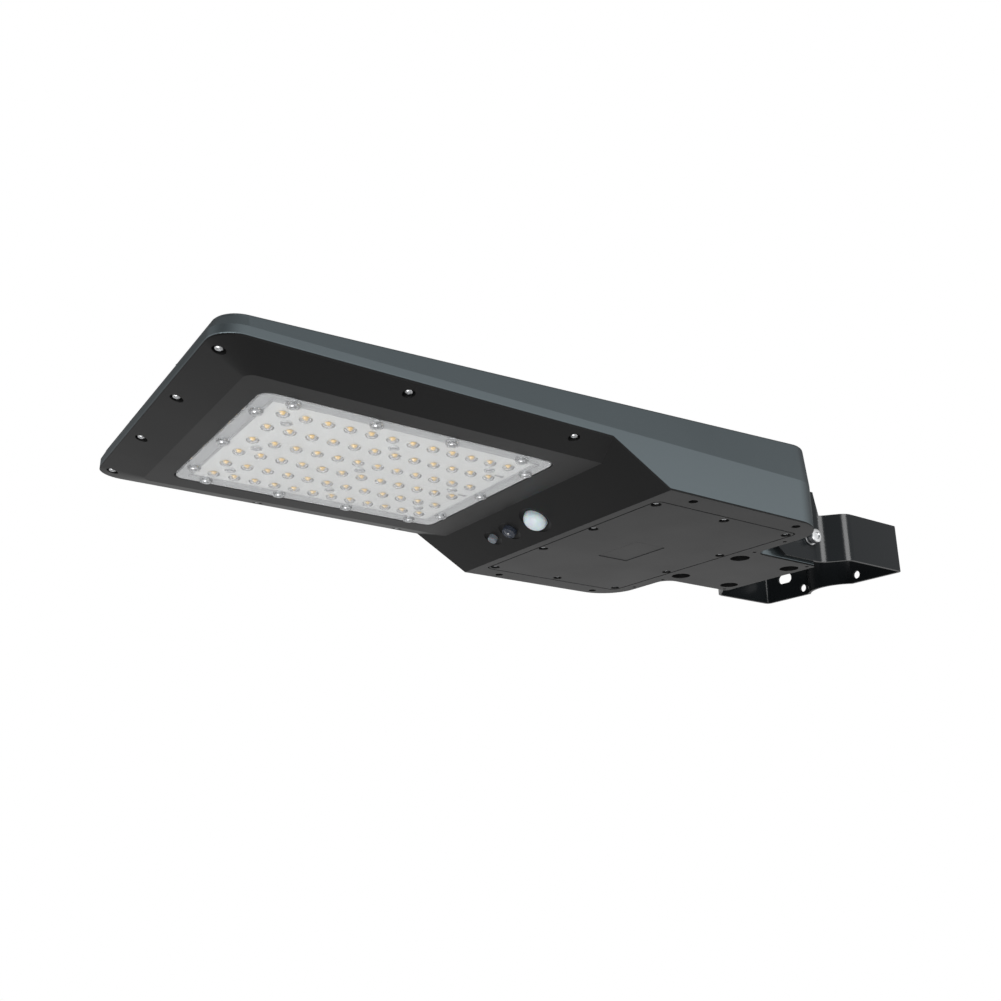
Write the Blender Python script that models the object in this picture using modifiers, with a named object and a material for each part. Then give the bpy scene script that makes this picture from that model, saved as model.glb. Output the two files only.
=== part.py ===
"""All-in-one solar street lamp on a folded steel pole bracket.

Units are metres with +Z up and +X from the pole towards the tip of the lamp.  The origin is the pole
seat: the middle of the plane of the bracket's back plate.  The lamp head hangs from two pivot bolts and
tilts about the Y axis through them.  Sizes that can be set by themselves are named below; everything
that fits, seats or lines up is worked out from them.
"""

from math import atan2, cos, pi, radians, sin, sqrt, tan

import bmesh
import bpy
from mathutils import Matrix, Vector

MM = 0.001
GAP = 0.3 * MM            # between pieces that touch
FAR = 300 * MM            # past every face that a cutter has to clear
ARC_STEPS = 5             # straight pieces in a rounded corner
HOLE_STEPS = 6            # sides of a small hole and its boss
BORE_STEPS = 12           # sides of a recess that shows
SADDLE_STEPS = 16         # straight pieces in the pole saddle

# Pole bracket
BRACKET_SHEET = 3.0 * MM
BRACKET_HEIGHT = 51.4 * MM
BRACKET_FLARE = 23.5 * MM
BRACKET_SIDE_LENGTH = 87.5 * MM
BRACKET_NECK_LENGTH = 18.0 * MM
BEND_RADIUS = 6.0 * MM
SADDLE_RADIUS = 38.9 * MM
SADDLE_DEPTH = 14.0 * MM
WING_REACH = 70.5 * MM
WING_TOP = 52.0 * MM
WING_SHOULDER_RUN = 4.3 * MM
WING_NOSE_RUN = 14.7 * MM
WING_NOSE_RISE = 10.5 * MM
WING_CORNER = 8.0 * MM
POLE_HOLE_RADIUS = 4.5 * MM
POLE_HOLE_OFFSET = 8.6 * MM
POLE_HOLE_Z = 17.0 * MM
STRAP_SLOT_LENGTH = 21.0 * MM
STRAP_SLOT_HEIGHT = 11.5 * MM
STRAP_SLOT_INSET = 31.5 * MM

# Pivot
PIVOT_ALONG_WING = 15.5 * MM
PIVOT_Z = -1.0 * MM
BOLT_RADIUS = 4.0 * MM
BOLT_CLEARANCE = 0.4 * MM
BOLT_HEAD_RADIUS = 7.5 * MM
BOLT_HEAD_HEIGHT = 5.4 * MM
WASHER_RADIUS = 8.6 * MM
WASHER_THICKNESS = 1.6 * MM
SPRING_RADIUS = 6.6 * MM
SPRING_THICKNESS = 2.2 * MM
NUT_ACROSS_FLATS = 13.0 * MM
NUT_THICKNESS = 6.5 * MM
BOLT_TAIL = 3.0 * MM
PIVOT_BOSS_RADIUS = 10.8 * MM
PIVOT_BOSS_HEIGHT = 5.0 * MM

# Lens, light board and the flat face that they sit in
LED_COLUMNS = 12
LED_ROWS = 6
LED_PITCH_X = 18.5 * MM
LED_PITCH_Y = 30.9 * MM
LENS_FRONT_MARGIN = 26.5 * MM
LENS_REAR_MARGIN = 28.9 * MM
LENS_SIDE_MARGIN = 28.6 * MM
LENS_CORNER = 9.0 * MM
LENS_THICKNESS = 3.0 * MM
LENS_SKIN = 1.9 * MM
LENS_BORDER = 12.0 * MM
LENS_GAP = 1.0 * MM
LENS_PROUD = 0.1 * MM
BUMP_RADIUS = 5.2 * MM
BUMP_HEIGHT = 2.6 * MM
LED_SIZE = 3.6 * MM
LED_HEIGHT = 0.65 * MM
BOARD_THICKNESS = 1.6 * MM
GASKET_THICKNESS = 1.2 * MM
HEAT_PLATE_THICKNESS = 3.0 * MM
HEAT_PLATE_OVERLAP = 10.0 * MM
LENS_SCREW_INSET = 8.4 * MM
LENS_SCREW_END_STEP = 72.0 * MM
LENS_BOSS_RADIUS = 5.3 * MM
LENS_BOSS_HEIGHT = 0.8 * MM

# Head
FLANGE_WIDTH = 34.0 * MM
FLANGE_RISE = 8.5 * MM
PLATEAU_FRONT = 20.5 * MM
PLATEAU_SIDE = 22.5 * MM
PLATEAU_REAR = 31.9 * MM
PLATEAU_CORNER = 8.0 * MM
PLATEAU_Z = -3.8 * MM
BOX_DEPTH = 25.1 * MM
BOX_LENGTH = 204.0 * MM
SLOPE_ANGLE = radians(29.05)
FRONT_CORNER = 22.0 * MM
REAR_CORNER = 40.0 * MM
CREASE_HEIGHT = 8.6 * MM
CREASE_STEP = 0.5 * MM
ROOF_FRONT_Z = 23.0 * MM
ROOF_REAR_Z = 53.0 * MM
WALL_DRAFT = 2.6 * MM
ROOF_ROUND = 3.0 * MM
WALL = 2.5 * MM
TRAY_SHEET = 2.5 * MM
TRAY_EDGE = 1.3 * MM
ARM_HALF_WIDTH = 65.0 * MM
ARM_NOSE = 15.0 * MM
ARM_REACH = 79.0 * MM
ARM_TOP_Z = 24.0 * MM
ARM_FILLET = 15.0 * MM
ARM_CORNER = 4.0 * MM

# Solar panel
PANEL_MARGIN = 19.0 * MM
PANEL_THICKNESS = 4.0 * MM
PANEL_CORNER = 6.0 * MM
SEAL_WIDTH = 2.4 * MM
RECESS_DEPTH = 4.8 * MM

# Battery box
COVER_FRONT_RIM = 10.5 * MM
COVER_REAR_RIM = 17.4 * MM
COVER_SIDE_RIM = 27.7 * MM
COVER_CORNER = 6.0 * MM
COVER_THICKNESS = 5.0 * MM
COVER_GAP = 0.9 * MM
COVER_LEDGE = 13.0 * MM
COVER_SCREW_INSET_X = 5.4 * MM
COVER_SCREW_INSET_Y = 8.2 * MM
COVER_SCREW_STEP_Y = 39.8 * MM
LEDGE_THICKNESS = 2.5 * MM
COVER_GASKET = 1.0 * MM
RIM_HOLE_RADIUS = 4.25 * MM
RIM_HOLE_INSET = 11.6 * MM
RIM_HOLE_DEPTH = 14.0 * MM
DRAIN_RADIUS = 2.0 * MM
LEDGE_WALL = 2.4 * MM
COVER_POST_HEIGHT = 8.0 * MM
LABEL_DEPTH = 0.4 * MM
LABEL_SIZE = (37.0 * MM, 59.0 * MM)
CELL_RADIUS = 16.3 * MM
CELL_OVERLAP = 0.3 * MM
CELL_END_ROOM = 6.0 * MM
STRAP_FOOT = 11.0 * MM
STRAP_WIDTH = 26.0 * MM
STRAP_SHEET = 1.5 * MM
CONTROLLER_SIZE = (96.0 * MM, 90.0 * MM)
CONTROLLER_DROP = 18.4 * MM

# Arm recesses
CUP_RADIUS = 10.0 * MM
CUP_DEPTH = 9.0 * MM
CUP_WALL = 2.0 * MM
CUP_Y = 43.7 * MM
CUP_FRONT_INSET = 2.2 * MM
CUP_REAR_INSET = 2.5 * MM

# Screws
SCREW_RADIUS = 1.9 * MM
SCREW_CLEARANCE = 0.35 * MM
SCREW_STEPS = 8
LENS_SCREW_HEAD = 3.8 * MM
SMALL_SCREW_HEAD = 3.3 * MM
SCREW_HEAD_HEIGHT = 2.3 * MM
LENS_SCREW_LENGTH = 9.0 * MM
COVER_SCREW_LENGTH = 11.0 * MM
FLANGE_SCREW_LENGTH = 9.5 * MM
HEAD_SINK = 1.1 * MM
COUNTERBORE_RADIUS = 4.7 * MM
FLANGE_BORE_RADIUS = 5.0 * MM
FLANGE_BORE_DEPTH = 3.0 * MM
FLANGE_PAD_RADIUS = 6.25 * MM
FLANGE_PAD_HEIGHT = 4.0 * MM
SHELL_BOSS_RADIUS = 4.8 * MM
FLANGE_SCREW_INSET = 10.4 * MM
FLANGE_SIDE_INSET = 12.4 * MM
FLANGE_CORNER_Y_INSET = 23.3 * MM
FLANGE_FRONT_Y = 46.8 * MM

# Sensors on the sloped face
SENSOR_RECESS_DEPTH = 0.8 * MM
SENSOR_RECESS_MARGIN = 5.0 * MM
SENSOR_FIT = 0.35 * MM
SENSOR_FLANGE = 2.3 * MM
SENSOR_FLANGE_THICKNESS = 1.5 * MM
PIR_RADIUS = 11.7 * MM
PIR_HEIGHT = 8.5 * MM
INDICATOR_RADIUS = 6.9 * MM
INDICATOR_Y = -43.3 * MM
INDICATOR_PROUD = 3.4 * MM
BUTTON_RADIUS = 4.7 * MM
BUTTON_Y = -72.7 * MM
BUTTON_PROUD = 3.4 * MM
BUTTON_TRAVEL = 1.5 * MM
SENSOR_BOARD_DEPTH = 12.0 * MM
SENSOR_BOARD_SIZE = (24.0 * MM, 118.0 * MM)
SENSOR_POST_RADIUS = 2.4 * MM
SENSOR_POST_STEPS = (22.0 * MM, -26.0 * MM)

# What follows from the driving sizes
WING_HALF_GAP = ARM_HALF_WIDTH + PIVOT_BOSS_HEIGHT
BRACKET_HALF_WIDTH = WING_HALF_GAP + BRACKET_SHEET + BRACKET_FLARE
SADDLE_CENTRE_X = SADDLE_DEPTH - SADDLE_RADIUS
SADDLE_HALF_CHORD = sqrt(SADDLE_RADIUS ** 2 - SADDLE_CENTRE_X ** 2)
POLE_HOLE_Y = SADDLE_HALF_CHORD + POLE_HOLE_OFFSET
STRAP_SLOT_Y = BRACKET_HALF_WIDTH - STRAP_SLOT_INSET
WING_X = BRACKET_SIDE_LENGTH + BRACKET_NECK_LENGTH
PIVOT_X = WING_X + PIVOT_ALONG_WING
ARM_END_X = PIVOT_X - ARM_NOSE
BODY_REAR_X = PIVOT_X + ARM_REACH
CUP_FRONT_X = BODY_REAR_X - CUP_FRONT_INSET
CUP_REAR_X = PIVOT_X + CUP_REAR_INSET
LENS_LENGTH = (LED_COLUMNS - 1) * LED_PITCH_X + LENS_FRONT_MARGIN + LENS_REAR_MARGIN
LENS_HALF_WIDTH = (LED_ROWS - 1) * LED_PITCH_Y / 2 + LENS_SIDE_MARGIN
BODY_HALF_WIDTH = LENS_HALF_WIDTH + PLATEAU_SIDE + FLANGE_WIDTH
SLOPE = tan(SLOPE_ANGLE)
BOX_Z = PLATEAU_Z - BOX_DEPTH
PARTING_Z = PLATEAU_Z + FLANGE_RISE
CREASE_Z = PARTING_Z + CREASE_HEIGHT
SLOPE_FOOT_X = BODY_REAR_X + BOX_LENGTH
SLOPE_TOP_X = SLOPE_FOOT_X + BOX_DEPTH / SLOPE
LENS_REAR_X = SLOPE_TOP_X + PLATEAU_REAR
LENS_FRONT_X = LENS_REAR_X + LENS_LENGTH
PLATEAU_FRONT_X = LENS_FRONT_X + PLATEAU_FRONT
BODY_FRONT_X = PLATEAU_FRONT_X + FLANGE_WIDTH
BODY_LENGTH = BODY_FRONT_X - BODY_REAR_X
PLATEAU_HALF_WIDTH = BODY_HALF_WIDTH - FLANGE_WIDTH
FLANGE_SLOPE = FLANGE_RISE / FLANGE_WIDTH
ROOF_ANGLE = atan2(ROOF_REAR_Z - ROOF_FRONT_Z, BODY_LENGTH)
ROOF_SHEET = RECESS_DEPTH + WALL
LENS_FACE_Z = PLATEAU_Z - LENS_PROUD
LENS_BACK_Z = LENS_FACE_Z + LENS_THICKNESS
GASKET_Z = LENS_BACK_Z + GAP
HEAT_PLATE_Z = GASKET_Z + GASKET_THICKNESS + GAP
BOARD_Z = HEAT_PLATE_Z - GAP - BOARD_THICKNESS
COVER_REAR_X = BODY_REAR_X + COVER_REAR_RIM
COVER_FRONT_X = SLOPE_FOOT_X - COVER_FRONT_RIM
COVER_HALF_WIDTH = BODY_HALF_WIDTH - COVER_SIDE_RIM
COVER_MID_X = (COVER_REAR_X + COVER_FRONT_X) / 2
COVER_INNER_Z = BOX_Z + COVER_THICKNESS
COVER_GASKET_Z = COVER_INNER_Z + GAP
LEDGE_Z = COVER_GASKET_Z + COVER_GASKET + GAP
LEDGE_TOP_Z = LEDGE_Z + LEDGE_THICKNESS
CELL_PITCH = 2 * CELL_RADIUS - CELL_OVERLAP
CELL_COLUMNS = 1 + 2 * int((COVER_HALF_WIDTH - COVER_LEDGE - CELL_RADIUS) / CELL_PITCH)
CELL_LENGTH = COVER_FRONT_X - COVER_REAR_X - 2 * (COVER_LEDGE + CELL_END_ROOM)
CONTROLLER_Z = ROOF_REAR_Z - (COVER_MID_X - BODY_REAR_X) * tan(ROOF_ANGLE) - ROOF_SHEET - CONTROLLER_DROP
HOLE_RADIUS = SCREW_RADIUS + SCREW_CLEARANCE
SIDES = (1, -1)
SIDE_NAMES = {1: "left", -1: "right"}

FINISHES = {
    "gunmetal": ((0.135, 0.165, 0.18), 0.42, 0.75),
    "black_paint": ((0.045, 0.045, 0.045), 0.5, 0.2),
    "bracket_paint": ((0.028, 0.031, 0.033), 0.45, 0.4),
    "clear_plastic": ((0.80, 0.82, 0.84), 0.12, 0.0),
    "white_board": ((0.82, 0.82, 0.80), 0.45, 0.0),
    "green_board": ((0.03, 0.16, 0.06), 0.4, 0.0),
    "bare_aluminium": ((0.72, 0.73, 0.74), 0.35, 0.95),
    "bright_steel": ((0.78, 0.79, 0.80), 0.2, 1.0),
    "dark_steel": ((0.12, 0.13, 0.14), 0.4, 0.9),
    "black_rubber": ((0.015, 0.015, 0.015), 0.8, 0.0),
    "solar_glass": ((0.008, 0.012, 0.035), 0.1, 0.1),
    "blue_wrap": ((0.03, 0.10, 0.35), 0.35, 0.0),
    "milky_plastic": ((0.85, 0.88, 0.92), 0.35, 0.0),
    "grey_plastic": ((0.42, 0.46, 0.50), 0.3, 0.0),
}


# ---------------------------------------------------------------- scene and helpers

def clear_scene():
    """Remove what the scene holds before the lamp is made."""
    for obj in list(bpy.data.objects):
        bpy.data.objects.remove(obj, do_unlink=True)


def new_collection(name):
    """Return a new collection linked to the scene."""
    collection = bpy.data.collections.new(name)
    bpy.context.scene.collection.children.link(collection)
    return collection


def finish_material(finish):
    """Return the material of a finish, made the first time it is asked for."""
    material = bpy.data.materials.get(finish)
    if material is None:
        colour, roughness, metallic = FINISHES[finish]
        material = bpy.data.materials.new(finish)
        material.use_nodes = True
        shader = material.node_tree.nodes["Principled BSDF"]
        shader.inputs["Base Color"].default_value = (*colour, 1.0)
        shader.inputs["Roughness"].default_value = roughness
        shader.inputs["Metallic"].default_value = metallic
    return material


def add_part(obj, finish, parent=None, smooth=35):
    """Make an object one of the lamp's pieces."""
    PARTS.objects.link(obj)
    obj.data.materials.clear()
    obj.data.materials.append(finish_material(finish))
    if smooth:
        obj.data.shade_smooth()
        obj.data.set_sharp_from_angle(angle=radians(smooth))
    if parent is not None:
        obj.parent = parent
        obj.matrix_parent_inverse = Matrix.Translation(-parent.location)
    return obj


def add_cutter(obj):
    """Make an object a cutter or a guide that the pieces' modifiers read."""
    CUTTERS.objects.link(obj)
    obj.hide_render = True
    obj.display_type = "WIRE"
    return obj


def combine(obj, other, operation):
    """Add a Boolean modifier that unites, cuts or intersects an object with another."""
    modifier = obj.modifiers.new(operation.lower(), "BOOLEAN")
    modifier.object = other
    modifier.operation = operation
    modifier.solver = "EXACT"


def mesh_object(name, bm, matrix=None):
    """Return an object, not yet linked, whose mesh comes from a bmesh."""
    bmesh.ops.recalc_face_normals(bm, faces=bm.faces)
    mesh = bpy.data.meshes.new(name)
    bm.to_mesh(mesh)
    bm.free()
    obj = bpy.data.objects.new(name, mesh)
    if matrix is not None:
        obj.matrix_world = matrix
    return obj


def bend(start, corner, end, radius):
    """Return the arc that rounds a corner between two straight stretches."""
    here = Vector(corner)
    back = (Vector(start) - here).normalized()
    ahead = (Vector(end) - here).normalized()
    half = back.angle(ahead) / 2
    reach = radius / tan(half)
    middle = here + (back + ahead).normalized() * (radius / sin(half))
    first = here + back * reach - middle
    sweep = first.angle_signed(here + ahead * reach - middle)
    turns = [Matrix.Rotation(-sweep * step / ARC_STEPS, 2) for step in range(ARC_STEPS + 1)]
    return [tuple(middle + turn @ first) for turn in turns]


def rounded(corners, radii):
    """Return an outline whose corners are replaced by arcs, the same number of points for each."""
    points = []
    for index, corner in enumerate(corners):
        following = corners[(index + 1) % len(corners)]
        points += bend(corners[index - 1], corner, following, radii[index])
    return points


def rectangle(x0, x1, half_width, rear_radius, front_radius):
    """Return a rounded rectangle that is symmetric about the X axis."""
    corners = [(x0, -half_width), (x1, -half_width), (x1, half_width), (x0, half_width)]
    return rounded(corners, [rear_radius, front_radius, front_radius, rear_radius])


def slab(name, outline, z0, z1, matrix=None):
    """Return a flat outline with a thickness, made from a 2D curve."""
    curve = bpy.data.curves.new(name, "CURVE")
    curve.dimensions = "2D"
    curve.fill_mode = "BOTH"
    curve.extrude = (z1 - z0) / 2
    spline = curve.splines.new("POLY")
    spline.points.add(len(outline) - 1)
    for point, (x, y) in zip(spline.points, outline):
        point.co = (x, y, 0.0, 1.0)
    spline.use_cyclic_u = True
    guide = bpy.data.objects.new(name, curve)
    bpy.context.scene.collection.objects.link(guide)
    guide.location.z = (z0 + z1) / 2
    bpy.context.view_layer.update()
    evaluated = guide.evaluated_get(bpy.context.evaluated_depsgraph_get())
    mesh = bpy.data.meshes.new_from_object(evaluated)
    mesh.transform(guide.matrix_world)
    bpy.data.objects.remove(guide, do_unlink=True)
    bm = bmesh.new()
    bm.from_mesh(mesh)
    bpy.data.meshes.remove(mesh)
    bmesh.ops.remove_doubles(bm, verts=bm.verts, dist=0.000001)
    return mesh_object(name, bm, matrix)


def side_slab(name, outline, half_width):
    """Return a slab whose outline is drawn in the XZ plane and whose thickness runs along Y."""
    return slab(name, outline, -half_width, half_width, Matrix.Rotation(pi / 2, 4, "X"))


def loft(name, loops):
    """Return a closed solid through loops of 3D points that all have the same number of points."""
    bm = bmesh.new()
    rings = [[bm.verts.new(point) for point in loop] for loop in loops]
    count = len(rings[0])
    for lower, upper in zip(rings, rings[1:]):
        for index in range(count):
            after = (index + 1) % count
            bm.faces.new((lower[index], lower[after], upper[after], upper[index]))
    bm.faces.new(list(reversed(rings[0])))
    bm.faces.new(rings[-1])
    bmesh.ops.triangulate(bm, faces=bm.faces)
    return mesh_object(name, bm)


def turned(name, profile, steps, matrix):
    """Return a turned piece: a profile of (radius, height) points swept about its own Z axis."""
    mesh = bpy.data.meshes.new(name)
    count = len(profile)
    closed = min(radius for radius, height in profile) > 0
    edges = [(index, index + 1) for index in range(count - 1)]
    if closed:
        edges.append((count - 1, 0))
    mesh.from_pydata([(radius, 0.0, height) for radius, height in profile], edges, [])
    obj = bpy.data.objects.new(name, mesh)
    obj.matrix_world = matrix
    screw = obj.modifiers.new("turn", "SCREW")
    screw.steps = steps
    screw.render_steps = steps
    screw.use_merge_vertices = True
    screw.merge_threshold = 0.00001
    screw.use_smooth_shade = True
    return obj


def cylinders(name, items, segments, matrix=None):
    """Return one mesh of upright cylinders that stay apart, each given as (x, y, radius, z0, z1)."""
    bm = bmesh.new()
    for x, y, radius, z0, z1 in items:
        place = Matrix.Translation((x, y, (z0 + z1) / 2))
        bmesh.ops.create_cone(bm, cap_ends=True, segments=segments, radius1=radius, radius2=radius,
                              depth=z1 - z0, matrix=place)
    return mesh_object(name, bm, matrix)


def boxes(name, items, matrix=None):
    """Return one mesh of boxes that stay apart, each given as (centre, size)."""
    bm = bmesh.new()
    for centre, size in items:
        place = Matrix.Translation(centre) @ Matrix.Diagonal((*size, 1.0))
        bmesh.ops.create_cube(bm, size=1.0, matrix=place)
    return mesh_object(name, bm, matrix)


def facing(direction, place):
    """Return a matrix at a place whose +Z points along a direction."""
    turn = Vector(direction).to_track_quat("Z", "Y").to_matrix().to_4x4()
    return Matrix.Translation(place) @ turn


# ---------------------------------------------------------------- shared shapes of the head

def roof_z(x):
    """Return the height of the roof's plane at a distance from the pole."""
    share = (x - BODY_REAR_X) / BODY_LENGTH
    return ROOF_REAR_Z + share * (ROOF_FRONT_Z - ROOF_REAR_Z)


def slope_z(x):
    """Return the height of the sloped face between the battery box and the flat face."""
    return BOX_Z + (x - SLOPE_FOOT_X) * SLOPE


def body_outline(inset):
    """Return the plan of the body without the arm, moved inwards by an inset."""
    return rectangle(BODY_REAR_X + inset, BODY_FRONT_X - inset, BODY_HALF_WIDTH - inset,
                     REAR_CORNER - inset, FRONT_CORNER - inset)


def full_outline(inset):
    """Return the plan of the body with the arm and its concave root fillets."""
    rear = BODY_REAR_X + inset
    front = BODY_FRONT_X - inset
    half = BODY_HALF_WIDTH - inset
    arm = ARM_HALF_WIDTH - inset
    end = ARM_END_X + inset
    corners = [(rear, -half), (front, -half), (front, half), (rear, half),
               (rear, arm), (end, arm), (end, -arm), (rear, -arm)]
    outer = [REAR_CORNER - inset, FRONT_CORNER - inset, FRONT_CORNER - inset, REAR_CORNER - inset]
    small = max(ARM_CORNER - inset, 0.5 * MM)
    return rounded(corners, outer + [ARM_FILLET + inset, small, small, ARM_FILLET + inset])


def arm_outline(inset):
    """Return the plan of the arm and its root fillets, run on into the body."""
    root = BODY_REAR_X + 0.3 * MM + inset
    arm = ARM_HALF_WIDTH - inset
    flare = arm + ARM_FILLET + inset + 0.5 * MM
    inside = BODY_REAR_X + 20 * MM
    small = max(ARM_CORNER - inset, 0.5 * MM)
    half = [(inside, flare), (root, flare), (root, arm), (ARM_END_X + inset, arm)]
    other = [(x, -y) for x, y in reversed(half)]
    radii = [MM, 0.1 * MM, ARM_FILLET + inset, small]
    return rounded(half + other, radii + list(reversed(radii)))


def underside(name, grow, lift):
    """Return the space above the lamp's underside, grown outwards and lifted.

    The underside is a flat face framed by a flange that rises to the parting line, and behind it a
    sloped face down to the flat bottom of the battery box and arm.
    """
    root_x = SLOPE_FOOT_X + 0.5 * BOX_DEPTH / SLOPE
    inner = rectangle(root_x, PLATEAU_FRONT_X, PLATEAU_HALF_WIDTH, MM, PLATEAU_CORNER)
    outer = rectangle(root_x, BODY_FRONT_X + grow, BODY_HALF_WIDTH + grow, MM, FRONT_CORNER + grow)
    rim_z = PARTING_Z + grow * FLANGE_SLOPE + lift
    loops = [[(x, y, PLATEAU_Z + lift) for x, y in inner],
             [(x, y, rim_z) for x, y in outer],
             [(x, y, FAR) for x, y in outer]]
    space = add_cutter(loft(name, loops))
    top_x = SLOPE_FOOT_X + (FAR - BOX_Z - lift) / SLOPE
    rear = [(-FAR, BOX_Z + lift), (SLOPE_FOOT_X, BOX_Z + lift), (top_x, FAR), (-FAR, FAR)]
    block = add_cutter(side_slab(name + "_box", rear, BODY_HALF_WIDTH + grow))
    combine(space, block, "UNION")
    return space


def lens_screw_places():
    """Return where the lens plate's screws are, four along each side and three across each end."""
    side_y = LENS_HALF_WIDTH - LENS_SCREW_INSET
    first_x = LENS_REAR_X + LENS_REAR_MARGIN
    span = (LED_COLUMNS - 1) * LED_PITCH_X
    places = [(first_x + span * step / 3, side * side_y) for side in SIDES for step in range(4)]
    for x in (LENS_REAR_X + 0.9 * LENS_SCREW_INSET, LENS_FRONT_X - 0.9 * LENS_SCREW_INSET):
        places += [(x, step * LENS_SCREW_END_STEP) for step in (-1, 0, 1)]
    return places


def cover_screw_places():
    """Return where the battery cover's screws are, four across each end and one mid side."""
    side_y = COVER_HALF_WIDTH - COVER_SCREW_INSET_Y
    columns = (-side_y, -COVER_SCREW_STEP_Y, COVER_SCREW_STEP_Y, side_y)
    places = []
    for x in (COVER_REAR_X + COVER_SCREW_INSET_X, COVER_FRONT_X - COVER_SCREW_INSET_X):
        places += [(x, y) for y in columns]
    places += [(COVER_MID_X, side * side_y) for side in SIDES]
    return places


def flange_screw_places():
    """Return the flange's screws as (x, y, height of the flange there)."""
    x = BODY_FRONT_X - FLANGE_SCREW_INSET
    front_z = PARTING_Z - FLANGE_SCREW_INSET * FLANGE_SLOPE
    side_z = PARTING_Z - FLANGE_SIDE_INSET * FLANGE_SLOPE
    places = []
    for side in SIDES:
        places.append((x, side * (BODY_HALF_WIDTH - FLANGE_CORNER_Y_INSET), front_z))
        places.append((x, side * FLANGE_FRONT_Y, front_z))
        for share in (0.64, 0.055):
            along = LENS_REAR_X + share * LENS_LENGTH
            places.append((along, side * (BODY_HALF_WIDTH - FLANGE_SIDE_INSET), side_z))
    return places


def rim_hole_places():
    """Return the deep screw holes in the rim beside the battery cover."""
    y = BODY_HALF_WIDTH - RIM_HOLE_INSET
    middle = (BODY_REAR_X + SLOPE_FOOT_X) / 2
    reach = 0.32 * BOX_LENGTH
    return [(middle + step * reach, side * y) for side in SIDES for step in (-1, 1)]


def cup_places():
    """Return the round recesses in the bottom of the arm."""
    return [(x, side * CUP_Y) for x in (CUP_REAR_X, CUP_FRONT_X) for side in SIDES]


def sensor_frame(y):
    """Return a matrix on the outside of the sloped face, at half its height, +Z pointing out."""
    x = (SLOPE_FOOT_X + SLOPE_TOP_X) / 2
    return Matrix.Translation((x, y, slope_z(x))) @ Matrix.Rotation(pi - SLOPE_ANGLE, 4, "Y")


# ---------------------------------------------------------------- bracket and pivot

def offset_path(path, distance):
    """Return an open path moved sideways by a distance."""
    moved = []
    for index, point in enumerate(path):
        here = Vector(point)
        back = (here - Vector(path[max(index - 1, 0)])).normalized()
        ahead = (Vector(path[min(index + 1, len(path) - 1)]) - here).normalized()
        along = (back + ahead).normalized()
        side = Vector((-along.y, along.x))
        share = max(along.dot(ahead), along.dot(back))
        moved.append(tuple(here + side * distance / share))
    return moved


def make_bracket():
    """Build the folded bracket: saddled back plate, side panels, necks and pivot wings."""
    half = BRACKET_HALF_WIDTH
    wing_y = WING_HALF_GAP + BRACKET_SHEET
    tip_x = WING_X + WING_REACH
    reach = atan2(SADDLE_HALF_CHORD, -SADDLE_CENTRE_X)
    saddle = []
    for step in range(SADDLE_STEPS + 1):
        angle = reach * (2 * step / SADDLE_STEPS - 1)
        saddle.append((SADDLE_CENTRE_X + SADDLE_RADIUS * cos(angle), SADDLE_RADIUS * sin(angle)))
    corner = (0.0, half)
    fold = (BRACKET_SIDE_LENGTH, half)
    neck = (WING_X, wing_y)
    upper = bend((0.0, 0.0), corner, fold, BEND_RADIUS)
    upper += bend(corner, fold, neck, BEND_RADIUS)
    upper += bend(fold, neck, (tip_x, wing_y), BEND_RADIUS)
    upper.append((tip_x, wing_y))
    lower = [(x, -y) for x, y in reversed(upper)]
    path = lower + saddle + upper
    inner = offset_path(path, -BRACKET_SHEET)
    low = -BRACKET_HEIGHT / 2
    plate = slab("bracket", path + list(reversed(inner)), low, WING_TOP)
    shoulder_x = WING_X - 0.2 * MM
    side_view = [(-FAR, low - MM), (-FAR, -low), (shoulder_x, -low),
                 (shoulder_x + WING_SHOULDER_RUN, WING_TOP + MM),
                 (tip_x - WING_CORNER, WING_TOP + MM), (tip_x - WING_CORNER, WING_TOP),
                 (tip_x, WING_TOP - WING_CORNER), (tip_x, low + WING_NOSE_RISE),
                 (tip_x - WING_NOSE_RUN, low), (tip_x - WING_NOSE_RUN, low - MM)]
    combine(plate, add_cutter(side_slab("bracket_side_view", side_view, FAR)), "INTERSECT")
    pole_holes = [(z, y, POLE_HOLE_RADIUS, -FAR / 10, FAR / 10)
                  for y in (-POLE_HOLE_Y, POLE_HOLE_Y) for z in (-POLE_HOLE_Z, POLE_HOLE_Z)]
    turn = Matrix.Rotation(pi / 2, 4, "Y")
    combine(plate, add_cutter(cylinders("pole_holes", pole_holes, 16, turn)), "DIFFERENCE")
    long_half = STRAP_SLOT_LENGTH / 2
    tall_half = STRAP_SLOT_HEIGHT / 2
    for side in SIDES:
        middle = side * STRAP_SLOT_Y
        corners = [(-tall_half, middle - long_half), (tall_half, middle - long_half),
                   (tall_half, middle + long_half), (-tall_half, middle + long_half)]
        outline = rounded(corners, [0.98 * tall_half] * 4)
        slot = slab("strap_slot_" + SIDE_NAMES[side], outline, -FAR / 10, FAR / 10, turn)
        combine(plate, add_cutter(slot), "DIFFERENCE")
    pivot = [(PIVOT_X, -PIVOT_Z, BOLT_RADIUS + BOLT_CLEARANCE, -FAR, FAR)]
    hole = cylinders("pivot_hole", pivot, 20, Matrix.Rotation(-pi / 2, 4, "X"))
    combine(plate, add_cutter(hole), "DIFFERENCE")
    add_part(plate, "bracket_paint", smooth=30)


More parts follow.
